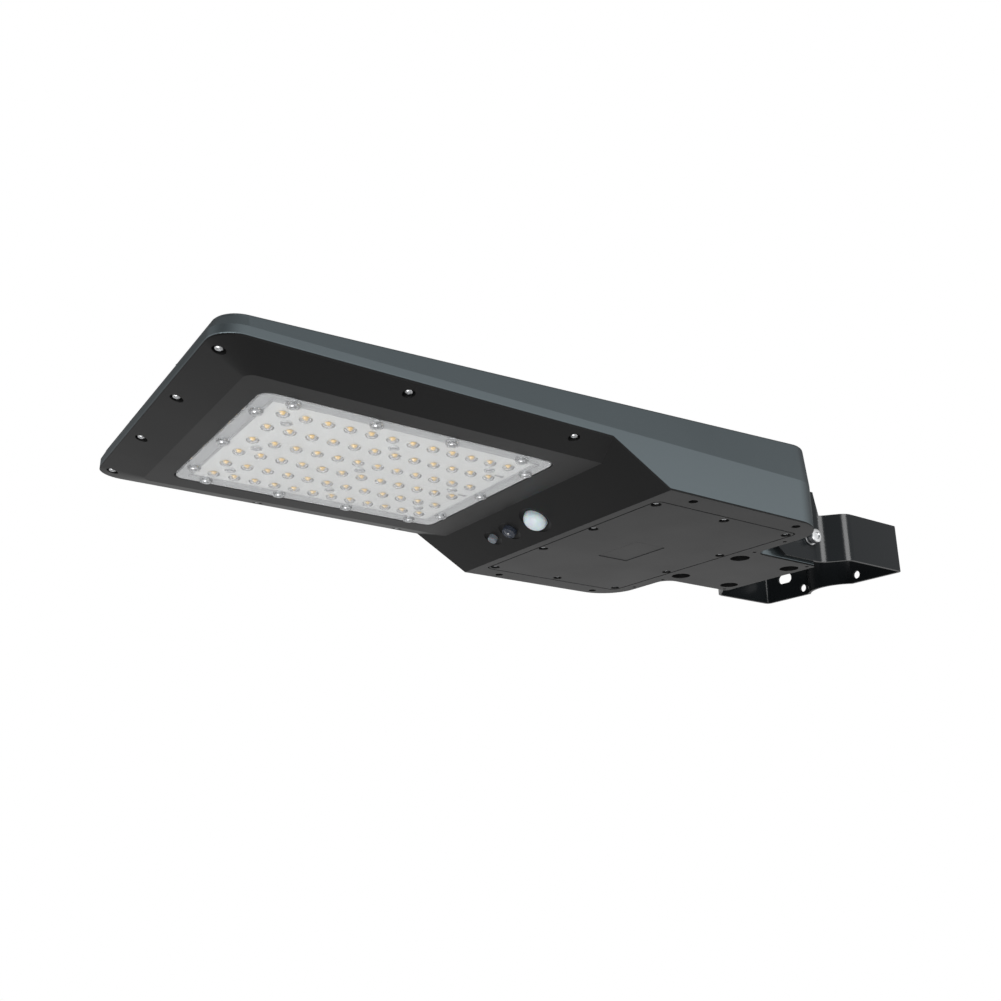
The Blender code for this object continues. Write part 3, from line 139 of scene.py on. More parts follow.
def rounded(corners: Sequence[Point2], radii: Sequence[float]) -> list[Point2]:
    """Replace every corner of an outline by an arc.

    Args:
        corners: The corners in order.
        radii: One radius for each corner.

    Returns:
        The closed outline, with the same number of points for each corner.
    """
    points: list[Point2] = []
    for index, corner in enumerate(corners):
        following = corners[(index + 1) % len(corners)]
        points += bend(corners[index - 1], corner, following, radii[index])
    return points


def rectangle(x0: float, x1: float, half: float, rear: float, front: float) -> list[Point2]:
    """Outline a rounded rectangle that is symmetric about the X axis.

    Args:
        x0: Rear end.
        x1: Front end.
        half: Half of the width.
        rear: Radius of the two rear corners.
        front: Radius of the two front corners.

    Returns:
        The closed outline.
    """
    corners = [(x0, -half), (x1, -half), (x1, half), (x0, half)]
    return rounded(corners, [rear, front, front, rear])


def offset_path(path: Sequence[Point2], distance: float) -> list[Point2]:
    """Move an open path sideways.

    Args:
        path: The points of the path.
        distance: How far to move it, to the left of its direction.

    Returns:
        The moved points.
    """
    moved: list[Point2] = []
    for index, point in enumerate(path):
        here = Vector(point)
        back = (here - Vector(path[max(index - 1, 0)])).normalized()
        ahead = (Vector(path[min(index + 1, len(path) - 1)]) - here).normalized()
        along = (back + ahead).normalized()
        share = max(along.dot(ahead), along.dot(back))
        moved.append(tuple(here + Vector((-along.y, along.x)) * distance / share))
    return moved


def mesh_object(name: str, bm: bmesh.types.BMesh, matrix: Matrix | None = None) -> bpy.types.Object:
    """Turn a bmesh into an object that is linked to the scene.

    Args:
        name: Name of the object.
        bm: The bmesh, freed afterwards.
        matrix: Where to place the mesh.

    Returns:
        The object, with its place in its mesh.
    """
    bmesh.ops.recalc_face_normals(bm, faces=bm.faces)
    if matrix is not None:
        bmesh.ops.transform(bm, matrix=matrix, verts=bm.verts)
    mesh = bpy.data.meshes.new(name)
    bm.to_mesh(mesh)
    bm.free()
    obj = bpy.data.objects.new(name, mesh)
    bpy.context.scene.collection.objects.link(obj)
    return obj


def loft(name: str, loops: Sequence[Sequence[Point3]],
         matrix: Matrix | None = None) -> bpy.types.Object:
    """Build a closed solid through loops of points.

    Args:
        name: Name of the object.
        loops: Loops that all have the same number of points.
        matrix: Where to place the solid.

    Returns:
        The solid.
    """
    bm = bmesh.new()
    rings = [[bm.verts.new(point) for point in loop] for loop in loops]
    count = len(rings[0])
    for lower, upper in zip(rings, rings[1:]):
        for index in range(count):
            after = (index + 1) % count
            bm.faces.new((lower[index], lower[after], upper[after], upper[index]))
    bm.faces.new(list(reversed(rings[0])))
    bm.faces.new(rings[-1])
    return mesh_object(name, bm, matrix)


def slab(name: str, outline: Sequence[Point2], z0: float, z1: float,
         matrix: Matrix | None = None) -> bpy.types.Object:
    """Build a flat outline with a thickness.

    Args:
        name: Name of the object.
        outline: The closed outline in the XY plane.
        z0: Lower face.
        z1: Upper face.
        matrix: Where to place the slab.

    Returns:
        The slab.
    """
    return loft(name, [[(x, y, z) for x, y in outline] for z in (z0, z1)], matrix)


def side_slab(name: str, outline: Sequence[Point2], half: float) -> bpy.types.Object:
    """Build a slab whose outline lies in the XZ plane and whose thickness runs along Y."""
    return slab(name, outline, -half, half, Matrix.Rotation(pi / 2, 4, "X"))


def rods(name: str, items: Iterable[Rod], segments: int = ROUND_STEPS,
         matrix: Matrix | None = None) -> bpy.types.Object:
    """Build upright cylinders in one mesh.

    Args:
        name: Name of the object.
        items: Each cylinder as (x, y, radius, z0, z1).
        segments: Sides of each cylinder.
        matrix: Where to place them all.

    Returns:
        The mesh of cylinders.
    """
    bm = bmesh.new()
    for x, y, radius, z0, z1 in items:
        place = Matrix.Translation((x, y, (z0 + z1) / 2))
        bmesh.ops.create_cone(bm, cap_ends=True, segments=segments, radius1=radius, radius2=radius,
                              depth=z1 - z0, matrix=place)
    return mesh_object(name, bm, matrix)


def blocks(name: str, items: Iterable[tuple[Point3, Point3]],
           matrix: Matrix | None = None) -> bpy.types.Object:
    """Build boxes in one mesh.

    Args:
        name: Name of the object.
        items: Each box as (centre, size).
        matrix: Where to place them all.

    Returns:
        The mesh of boxes.
    """
    bm = bmesh.new()
    for centre, size in items:
        place = Matrix.Translation(centre) @ Matrix.Diagonal((*size, 1.0))
        bmesh.ops.create_cube(bm, size=1.0, matrix=place)
    return mesh_object(name, bm, matrix)


def turned_into(bm: bmesh.types.BMesh, profile: Sequence[Point2], steps: int,
                matrix: Matrix) -> None:
    """Sweep a profile about its own Z axis into a bmesh.

    Args:
        bm: The bmesh that takes the turned piece.
        profile: Points as (radius, height), closed on itself unless it starts and ends on the axis.
        steps: Sides of the turned piece.
        matrix: Where to place it.
    """
    rings: list[list[bmesh.types.BMVert]] = []
    for radius, height in profile:
        count = 1 if radius == 0 else steps
        angles = [2 * pi * step / steps for step in range(count)]
        points = [(radius * cos(angle), radius * sin(angle), height) for angle in angles]
        rings.append([bm.verts.new(matrix @ Vector(point)) for point in points])
    pairs = list(zip(rings, rings[1:]))
    if len(rings[0]) > 1:
        pairs.append((rings[-1], rings[0]))
    for first, second in pairs:
        for index in range(steps):
            after = (index + 1) % steps
            corners = [first[index % len(first)], first[after % len(first)],
                       second[after % len(second)], second[index % len(second)]]
            bm.faces.new(list(dict.fromkeys(corners)))


def turned(name: str, profile: Sequence[Point2], steps: int, *places: Matrix) -> bpy.types.Object:
    """Build turned pieces of one profile as one mesh.

    Args:
        name: Name of the object.
        profile: Points as (radius, height).
        steps: Sides of each turned piece.
        places: Where the pieces stand.

    Returns:
        The mesh of turned pieces.
    """
    bm = bmesh.new()
    for place in places:
        turned_into(bm, profile, steps, place)
    return mesh_object(name, bm)


def dome(radius: float, height: float, steps: int, base: float = 0.0) -> list[Point2]:
    """Outline one side of a dome.

    Args:
        radius: Radius at its foot.
        height: Height above its foot.
        steps: Straight pieces from foot to top.
        base: Where its foot lies.

    Returns:
        Points as (radius, height), from the foot up to the top on the axis.
    """
    angles = [pi / 2 * step / steps for step in range(steps)]
    side = [(radius * cos(angle), base + height * sin(angle)) for angle in angles]
    return [*side, (0.0, base + height)]


def facing(direction: Point3, place: Point3) -> Matrix:
    """Return a matrix at a place whose +Z points along a direction."""
    turn = Vector(direction).to_track_quat("Z", "Y").to_matrix().to_4x4()
    return Matrix.Translation(place) @ turn


def shade(obj: bpy.types.Object, angle: float = SHARP_ANGLE) -> bpy.types.Object:
    """Shade a piece smooth, with sharp edges where its faces meet at more than an angle.

    Args:
        obj: The piece.
        angle: The angle.

    Returns:
        The same piece.
    """
    obj.data.shade_smooth()
    obj.data.set_sharp_from_angle(angle=angle)
    return obj


def crease(obj: bpy.types.Object, height: float) -> None:
    """Mark the level edges at a height as sharp.

    Args:
        obj: The piece.
        height: Height of the edges.
    """
    points = obj.data.vertices
    for edge in obj.data.edges:
        if all(abs(points[index].co.z - height) < LEVEL for index in edge.vertices):
            edge.use_edge_sharp = True


def flatten(obj: bpy.types.Object) -> bpy.types.Object:
    """Let the normals of a piece follow its large faces and stay sharp at its sharp edges."""
    obj.modifiers.new("normals", "WEIGHTED_NORMAL").keep_sharp = True
    return obj


def soften(obj: bpy.types.Object, edge: float, segments: int = 2) -> bpy.types.Object:
    """Round the strong edges of a piece and keep its flat faces flat.

    Args:
        obj: The piece.
        edge: Width of the rounding.
        segments: Faces across each rounding.

    Returns:
        The same piece.
    """
    shade(obj)
    bevel = obj.modifiers.new("edges", "BEVEL")
    bevel.width = edge
    bevel.segments = segments
    bevel.limit_method = "ANGLE"
    bevel.angle_limit = BEVEL_ANGLE
    bevel.use_clamp_overlap = False
    bevel.miter_outer = "MITER_ARC"
    return flatten(obj)


class Carving:
    """A solid that is cut and joined step by step, then baked to one clean mesh."""

    def __init__(self, base: bpy.types.Object, solver: Solver = Solver.EXACT) -> None:
        """Start from a solid.

        Args:
            base: The solid.
            solver: How every step is worked out.
        """
        self.base = base
        self.solver = solver
        self.tools: list[bpy.types.Object] = []

    def _combine(self, tool: bpy.types.Object, operation: str) -> "Carving":
        """Add one Boolean step.

        Args:
            tool: The solid that cuts, joins or trims.
            operation: Name of the Boolean operation.

        Returns:
            This carving, so that steps can be chained.
        """
        step = self.base.modifiers.new(operation.lower(), "BOOLEAN")
        step.object = tool
        step.operation = operation
        step.solver = self.solver.value
        self.tools.append(tool)
        return self

    def cut(self, tool: bpy.types.Object) -> "Carving":
        """Take a tool's space away."""
        return self._combine(tool, "DIFFERENCE")

    def join(self, tool: bpy.types.Object) -> "Carving":
        """Add a tool's space."""
        return self._combine(tool, "UNION")

    def keep(self, tool: bpy.types.Object) -> "Carving":
        """Keep only what lies inside a tool."""
        return self._combine(tool, "INTERSECT")

    def bake(self, merge: bool = True) -> bpy.types.Object:
        """Apply the steps and remove the tools.

        Args:
            merge: Whether flat neighbours become one face.

        Returns:
            The baked solid, under the name of the base.
        """
        bpy.context.view_layer.update()
        evaluated = self.base.evaluated_get(bpy.context.evaluated_depsgraph_get())
        bm = bmesh.new()
        bm.from_mesh(evaluated.to_mesh())
        evaluated.to_mesh_clear()
        bmesh.ops.remove_doubles(bm, verts=bm.verts, dist=WELD)
        bmesh.ops.dissolve_degenerate(bm, edges=bm.edges, dist=WELD)
        if merge:
            bmesh.ops.dissolve_limit(bm, angle_limit=FLAT_ANGLE, verts=bm.verts, edges=bm.edges)
        self.base.modifiers.clear()
        bm.to_mesh(self.base.data)
        bm.free()
        for tool in self.tools:
            bpy.data.objects.remove(tool, do_unlink=True)
        return self.base


def piece(obj: bpy.types.Object, material: bpy.types.Material, body: Body,
          replaces: Sequence[str] = ()) -> bpy.types.Object:
    """Dress a piece and let it ride on a body of the frame.

    Args:
        obj: The piece.
        material: Its material.
        body: The body that it moves with.
        replaces: CAD nodes that it stands for.

    Returns:
        The same piece.
    """
    obj.data.materials.clear()
    obj.data.materials.append(material)
    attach(obj, body.value)
    if replaces:
        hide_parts(*replaces)
    LOG.info("%s rides on %s, %d faces", obj.name, body.value, len(obj.data.polygons))
    return obj


# ---------------------------------------------------------------- finishes

def feed(tree: bpy.types.NodeTree, target: bpy.types.NodeSocket, value: object) -> None:
    """Feed an input of a node.

    Args:
        tree: The tree that holds the node.
        target: The input.
        value: A socket to link, a colour as a tuple of three, or a number.
    """
    if isinstance(value, bpy.types.NodeSocket):
        tree.links.new(value, target)
    else:
        target.default_value = (*value, 1.0) if isinstance(value, tuple) else value


def add_math(tree: bpy.types.NodeTree, operation: str, *values: object) -> bpy.types.NodeSocket:
    """Add a Math node.

    Args:
        tree: The tree that takes the node.
        operation: The node's operation.
        values: Numbers or sockets for its inputs.

    Returns:
        The result's socket.
    """
    node = tree.nodes.new("ShaderNodeMath")
    node.operation = operation
    for target, value in zip(node.inputs, values):
        feed(tree, target, value)
    return node.outputs[0]


def add_mix(tree: bpy.types.NodeTree, share: object, first: object,
            second: object) -> bpy.types.NodeSocket:
    """Add a colour Mix node.

    Args:
        tree: The tree that takes the node.
        share: Number or socket: how much of the second colour shows.
        first: Colour or socket.
        second: Colour or socket.

    Returns:
        The mixed colour's socket.
    """
    node = tree.nodes.new("ShaderNodeMix")
    node.data_type = "RGBA"
    for index, value in ((0, share), (6, first), (7, second)):
        feed(tree, node.inputs[index], value)
    return node.outputs[2]


def add_noise(tree: bpy.types.NodeTree, place: bpy.types.NodeSocket, scale: object,
              detail: float) -> bpy.types.NodeSocket:
    """Add a Noise Texture node.

    Args:
        tree: The tree that takes the node.
        place: The coordinates' socket.
        scale: Number or socket.
        detail: Octaves of the noise.

    Returns:
        The noise value's socket.
    """
    node = tree.nodes.new("ShaderNodeTexNoise")
    for name, value in (("Vector", place), ("Scale", scale), ("Detail", detail)):
        feed(tree, node.inputs[name], value)
    return node.outputs["Fac"]


def add_group(tree: bpy.types.NodeTree, group: bpy.types.NodeTree,
              values: dict[str, object]) -> bpy.types.bpy_prop_collection:
    """Add a group node.

    Args:
        tree: The tree that takes the node.
        group: The group.
        values: Numbers, colours or sockets for its inputs, by name.

    Returns:
        The node's outputs.
    """
    node = tree.nodes.new("ShaderNodeGroup")
    node.node_tree = group
    for name, value in values.items():
        feed(tree, node.inputs[name], value)
    return node.outputs


def add_axes(tree: bpy.types.NodeTree, kind: str) -> tuple[bpy.types.NodeSocket, ...]:
    """Add texture coordinates and split them.

    Args:
        tree: The tree that takes the nodes.
        kind: The coordinates, such as Object or Generated.

    Returns:
        The sockets of the whole vector and of its X, Y and Z.
    """
    place = tree.nodes.new("ShaderNodeTexCoord").outputs[kind]
    split = tree.nodes.new("ShaderNodeSeparateXYZ")
    tree.links.new(place, split.inputs[0])
    return (place, *split.outputs)


def new_group(name: str, inputs: dict[str, tuple[str, object]],
              outputs: dict[str, str]) -> tuple[bpy.types.NodeTree, bpy.types.Node, bpy.types.Node]:
    """Start a node group.

    Args:
        name: Name of the group.
        inputs: Kind and default value of each input, by name.
        outputs: Kind of each output, by name.

    Returns:
        The group, the node that gives its inputs and the node that takes its outputs.
    """
    tree = bpy.data.node_groups.new(name, "ShaderNodeTree")
    for label, (kind, value) in inputs.items():
        kind = "NodeSocket" + kind
        socket = tree.interface.new_socket(name=label, in_out="INPUT", socket_type=kind)
        if value is not None:
            socket.default_value = value
    for label, kind in outputs.items():
        tree.interface.new_socket(name=label, in_out="OUTPUT", socket_type="NodeSocket" + kind)
    return tree, tree.nodes.new("NodeGroupInput"), tree.nodes.new("NodeGroupOutput")


def surface_group() -> bpy.types.NodeTree:
    """Make the group that breaks up a finish: drifting tone, uneven gloss and a fine grain.

    Returns:
        The group, built the first time it is asked for.
    """
    tree = bpy.data.node_groups.get("surface_drift")
    if tree is not None:
        return tree
    tree, source, result = new_group(
        "surface_drift",
        {"Place": ("Vector", None), "Colour": ("Color", (0.5, 0.5, 0.5, 1.0)),
         "Tone Drift": ("Float", 0.1), "Patch Scale": ("Float", 20.0), "Roughness": ("Float", 0.5),
         "Gloss Drift": ("Float", 0.1), "Grain Scale": ("Float", 1500.0)},
        {"Colour": "Color", "Roughness": "Float", "Height": "Float"})
    given = source.outputs
    patches = add_noise(tree, given["Place"], given["Patch Scale"], 4.0)
    grain = add_noise(tree, given["Place"], given["Grain Scale"], 2.0)
    swing = add_math(tree, "SUBTRACT", patches, 0.5)
    fleck = add_math(tree, "SUBTRACT", grain, 0.5)
    both = add_math(tree, "ADD", swing, add_math(tree, "MULTIPLY", fleck, 0.6))
    twice = add_math(tree, "MULTIPLY", given["Tone Drift"], 2.0)
    scaled = tree.nodes.new("ShaderNodeVectorMath")
    scaled.operation = "SCALE"
    tree.links.new(given["Colour"], scaled.inputs[0])
    tree.links.new(add_math(tree, "MULTIPLY_ADD", both, twice, 1.0), scaled.inputs["Scale"])
    tree.links.new(scaled.outputs[0], result.inputs["Colour"])
    gloss = add_math(tree, "MULTIPLY_ADD", swing, given["Gloss Drift"], given["Roughness"])
    tree.links.new(gloss, result.inputs["Roughness"])
    tree.links.new(grain, result.inputs["Height"])
    return tree


def stripe_group() -> bpy.types.NodeTree:
    """Make the group that draws parallel lines across a coordinate.

    Returns:
        The group, built the first time it is asked for.
    """
    tree = bpy.data.node_groups.get("stripes")
    if tree is not None:
        return tree
    tree, source, result = new_group(
        "stripes", {"Along": ("Float", 0.0), "Start": ("Float", 0.0), "Pitch": ("Float", 0.01),
                    "Width": ("Float", 0.001)}, {"Mask": "Float"})
    given = source.outputs
    moved = add_math(tree, "SUBTRACT", given["Along"], given["Start"])
    turns = add_math(tree, "DIVIDE", moved, given["Pitch"])
    whole = add_math(tree, "ROUND", turns)
    away = add_math(tree, "ABSOLUTE", add_math(tree, "SUBTRACT", turns, whole))
    distance = add_math(tree, "MULTIPLY", away, given["Pitch"])
    half = add_math(tree, "MULTIPLY", given["Width"], 0.5)
    tree.links.new(add_math(tree, "LESS_THAN", distance, half), result.inputs["Mask"])
    return tree


def add_stripes(tree: bpy.types.NodeTree, along: bpy.types.NodeSocket, start: float, pitch: float,
                width: float) -> bpy.types.NodeSocket:
    """Add parallel lines.

    Args:
        tree: The material's nodes.
        along: The coordinate that the lines cross.
        start: Where one line lies.
        pitch: From line to line.
        width: Width of a line.

    Returns:
        The mask's socket.
    """
    values = {"Along": along, "Start": start, "Pitch": pitch, "Width": width}
    return add_group(tree, stripe_group(), values)["Mask"]


@dataclass(frozen=True)
class Finish:
    """A finish: its colour, gloss and grain, and the numbers that are the same all over it."""

    name: str
    colour: Point3
    roughness: float
    metallic: float = 0.0
    tone_drift: float = 0.06
    patch_scale: float = 14.0
    gloss_drift: float = 0.08
    grain_scale: float = 1400.0
    grain_depth: float = 0.01 * MM
    stretch: Point3 = (1.0, 1.0, 1.0)
    constants: tuple[tuple[str, float], ...] = ()

    def material(self) -> bpy.types.Material:
        """Make the finish's material.

        Returns:
            The material, built the first time it is asked for.
        """
        material = bpy.data.materials.get(self.name)
        if material is None:
            material = bpy.data.materials.new(self.name)
            material.use_nodes = True
            self.build(material.node_tree)
        return material

    def place(self, tree: bpy.types.NodeTree) -> bpy.types.NodeSocket:
        """Add the object coordinates, stretched along the finish's grain.

        Args:
            tree: The material's nodes.

        Returns:
            The coordinates' socket.
        """
        source = tree.nodes.new("ShaderNodeTexCoord")
        mapping = tree.nodes.new("ShaderNodeMapping")
        mapping.inputs["Scale"].default_value = self.stretch
        tree.links.new(source.outputs["Object"], mapping.inputs["Vector"])
        return mapping.outputs["Vector"]

    def build(self, tree: bpy.types.NodeTree) -> None:
        """Add the drift group and wire it to the shader.

        Args:
            tree: The material's nodes.
        """
        shader = tree.nodes["Principled BSDF"]
        drift = add_group(tree, surface_group(), {
            "Place": self.place(tree), "Colour": self.paint(tree), "Tone Drift": self.tone_drift,
            "Patch Scale": self.patch_scale, "Roughness": self.roughness,
            "Gloss Drift": self.gloss_drift, "Grain Scale": self.grain_scale})
        tree.links.new(drift["Colour"], shader.inputs["Base Color"])
        tree.links.new(drift["Roughness"], shader.inputs["Roughness"])
        for name, value in (("Metallic", self.metallic), *self.constants):
            shader.inputs[name].default_value = value
        bump = tree.nodes.new("ShaderNodeBump")
        bump.inputs["Distance"].default_value = self.grain_depth
        bump.inputs["Strength"].default_value = 1.0
        tree.links.new(drift["Height"], bump.inputs["Height"])
        tree.links.new(bump.outputs["Normal"], shader.inputs["Normal"])

    def paint(self, tree: bpy.types.NodeTree) -> bpy.types.NodeSocket:
        """Return the socket of the colour before it drifts."""
        return add_mix(tree, 0.0, self.colour, self.colour)


@dataclass(frozen=True)
class ClearFinish(Finish):
    """A clear moulding that light passes through, as shadow rays do."""

    shadow: float = 0.1

    def build(self, tree: bpy.types.NodeTree) -> None:
        """Add the common nodes, then let most light through in shadow rays.

        Args:
            tree: The material's nodes.
        """
        super().build(tree)
        shader = tree.nodes["Principled BSDF"]
        path = tree.nodes.new("ShaderNodeLightPath")
        ray = path.outputs["Is Shadow Ray"]
        alpha = add_math(tree, "MULTIPLY_ADD", ray, self.shadow - 1.0, 1.0)
        tree.links.new(alpha, shader.inputs["Alpha"])


@dataclass(frozen=True)
class SolarFinish(Finish):
    """Dark cells with narrow gaps, bus bars and fine fingers under glass."""

    start: Point2 = (0.0, 0.0)
    cell: Point2 = (52.0 * MM, 68.0 * MM)
    gap: float = 2.0 * MM
    bar_pitch: float = 22.6 * MM
    bar_width: float = 1.3 * MM
    finger_pitch: float = 2.0 * MM
    finger_width: float = 0.14 * MM
    back_colour: Point3 = (0.030, 0.034, 0.042)
    silver: Point3 = (0.42, 0.44, 0.46)

    def paint(self, tree: bpy.types.NodeTree) -> bpy.types.NodeSocket:
        """Paint cells, bus bars, fingers and gaps.

        Args:
            tree: The material's nodes.

        Returns:
            The colour's socket.
        """
        place, x, y, _ = add_axes(tree, "Object")
        cells = add_noise(tree, place, 9.0, 1.0)
        dark = add_mix(tree, cells, self.colour, tuple(1.7 * part for part in self.colour))
        fingers = add_stripes(tree, x, self.start[0], self.finger_pitch, self.finger_width)
        fine = add_mix(tree, add_math(tree, "MULTIPLY", fingers, 0.35), dark, self.silver)
        first_bar = self.start[1] + self.bar_pitch / 2
        bars = add_stripes(tree, y, first_bar, self.bar_pitch, self.bar_width)
        barred = add_mix(tree, bars, fine, self.silver)
        across = add_stripes(tree, x, self.start[0], self.cell[0], self.gap)
        down = add_stripes(tree, y, self.start[1], self.cell[1], self.gap)
        return add_mix(tree, add_math(tree, "MAXIMUM", across, down), barred, self.back_colour)


@dataclass(frozen=True)
class BoardFinish(Finish):
    """Solder mask over copper tracks that show as slightly lighter bands."""

    start: Point2 = (0.0, 0.0)
    pitch: Point2 = (18.5 * MM, 30.9 * MM)
    track_colour: Point3 = (0.9, 0.9, 0.9)
    track_width: float = 5.0 * MM

    def paint(self, tree: bpy.types.NodeTree) -> bpy.types.NodeSocket:
        """Paint mask and tracks.

        Args:
            tree: The material's nodes.

        Returns:
            The colour's socket.
        """
        _, x, y, _ = add_axes(tree, "Object")
        bands = add_stripes(tree, y, self.start[1], self.pitch[1], self.track_width)
        breaks = add_stripes(tree, x, self.start[0], self.pitch[0], 0.2 * self.track_width)
        tracks = add_math(tree, "MULTIPLY", bands, add_math(tree, "SUBTRACT", 1.0, breaks))
        return add_mix(tree, tracks, self.colour, self.track_colour)


@dataclass(frozen=True)
class FacetFinish(Finish):
    """A milky moulding whose face is broken into small lenses."""

    facet_scale: float = 260.0
    facet_depth: float = 0.25 * MM

    def build(self, tree: bpy.types.NodeTree) -> None:
        """Add the common nodes, then replace the grain by facets.

        Args:
            tree: The material's nodes.
        """
        super().build(tree)
        cells = tree.nodes.new("ShaderNodeTexVoronoi")
        cells.inputs["Scale"].default_value = self.facet_scale
        cells.inputs["Randomness"].default_value = 0.35
        tree.links.new(self.place(tree), cells.inputs["Vector"])
        bump = tree.nodes["Bump"]
        bump.inputs["Distance"].default_value = self.facet_depth
        bump.invert = True
        tree.links.new(cells.outputs["Distance"], bump.inputs["Height"])


@dataclass(frozen=True)
class StageFinish(Finish):
    """A pale floor that looks lit from its own backdrop and throws no extra light at the lamp."""

    glow: Point3 = (0.6, 0.6, 0.6)

    def build(self, tree: bpy.types.NodeTree) -> None:
        """Add the common nodes, then the glow that only direct views see.

        Args:
            tree: The material's nodes.
        """
        super().build(tree)
        shader = tree.nodes["Principled BSDF"]
        path = tree.nodes.new("ShaderNodeLightPath")
        seen = add_mix(tree, path.outputs["Is Camera Ray"], (0.0, 0.0, 0.0), self.glow)
        tree.links.new(seen, shader.inputs["Emission Color"])
        shader.inputs["Emission Strength"].default_value = 1.0


GUNMETAL = Finish("gunmetal_coat", (0.175, 0.210, 0.226), 0.30, 0.80, tone_drift=0.04,
                  grain_scale=2600.0, constants=(("Specular IOR Level", 0.45),))
BLACK_COAT = Finish("black_coat", (0.0068, 0.0068, 0.0070), 0.42, tone_drift=0.08,
                    grain_scale=2400.0, constants=(("Specular IOR Level", 0.31),))
BRACKET_COAT = Finish("bracket_coat", (0.006, 0.007, 0.0078), 0.22, grain_scale=1900.0,
                      constants=(("Specular IOR Level", 0.15),))
CLEAR_MOULDING = ClearFinish("clear_moulding", (0.90, 0.91, 0.92), 0.13, tone_drift=0.01,
                             gloss_drift=0.03, grain_depth=0.002 * MM,
                             constants=(("Transmission Weight", 0.86), ("IOR", 1.49)))
CHIP_BODY = Finish("chip_body", (0.86, 0.86, 0.84), 0.4)
PHOSPHOR = Finish("phosphor", (0.98, 0.60, 0.10), 0.45, tone_drift=0.05, patch_scale=400.0)
BRIGHT_STEEL = Finish("bright_steel_turned", (0.88, 0.89, 0.90), 0.31, 1.0, patch_scale=160.0,
                      gloss_drift=0.2, stretch=(1.0, 1.0, 3.0))
DARK_STEEL = Finish("spring_steel", (0.10, 0.105, 0.11), 0.42, 0.9, patch_scale=90.0)
BARE_ALUMINIUM = Finish("mill_aluminium", (0.62, 0.63, 0.64), 0.38, 0.95, stretch=(0.1, 1.0, 1.0))
RUBBER = Finish("seal_rubber", (0.012, 0.012, 0.012), 0.78, grain_scale=700.0,
                grain_depth=0.03 * MM)
SILICONE = Finish("silicone_seal", (0.38, 0.385, 0.39), 0.6, grain_scale=500.0,
                  grain_depth=0.03 * MM)
MILKY_DOME = FacetFinish("milky_dome", (0.80, 0.91, 0.98), 0.3, tone_drift=0.05, patch_scale=180.0,
                         constants=(("Subsurface Weight", 0.4), ("Subsurface Scale", 0.004)))
SMOKED_LENS = Finish("smoked_lens", (0.10, 0.12, 0.17), 0.12, tone_drift=0.1, patch_scale=150.0,
                     constants=(("Transmission Weight", 0.6), ("IOR", 1.5), ("Coat Weight", 1.0)))
GREY_CAP = Finish("grey_cap", (0.20, 0.23, 0.26), 0.32, tone_drift=0.12, patch_scale=220.0,
                  constants=(("Subsurface Weight", 0.3), ("Subsurface Scale", 0.003)))
GREEN_BOARD = BoardFinish("green_board", (0.02, 0.12, 0.05), 0.4, pitch=(9.0 * MM, 6.0 * MM),
                          track_colour=(0.05, 0.22, 0.09), track_width=2.0 * MM)
SHRINK_WRAP = Finish("shrink_wrap", (0.02, 0.08, 0.34), 0.3, patch_scale=40.0, gloss_drift=0.25,
                     grain_scale=160.0, grain_depth=0.15 * MM)


# ---------------------------------------------------------------- shape of the head

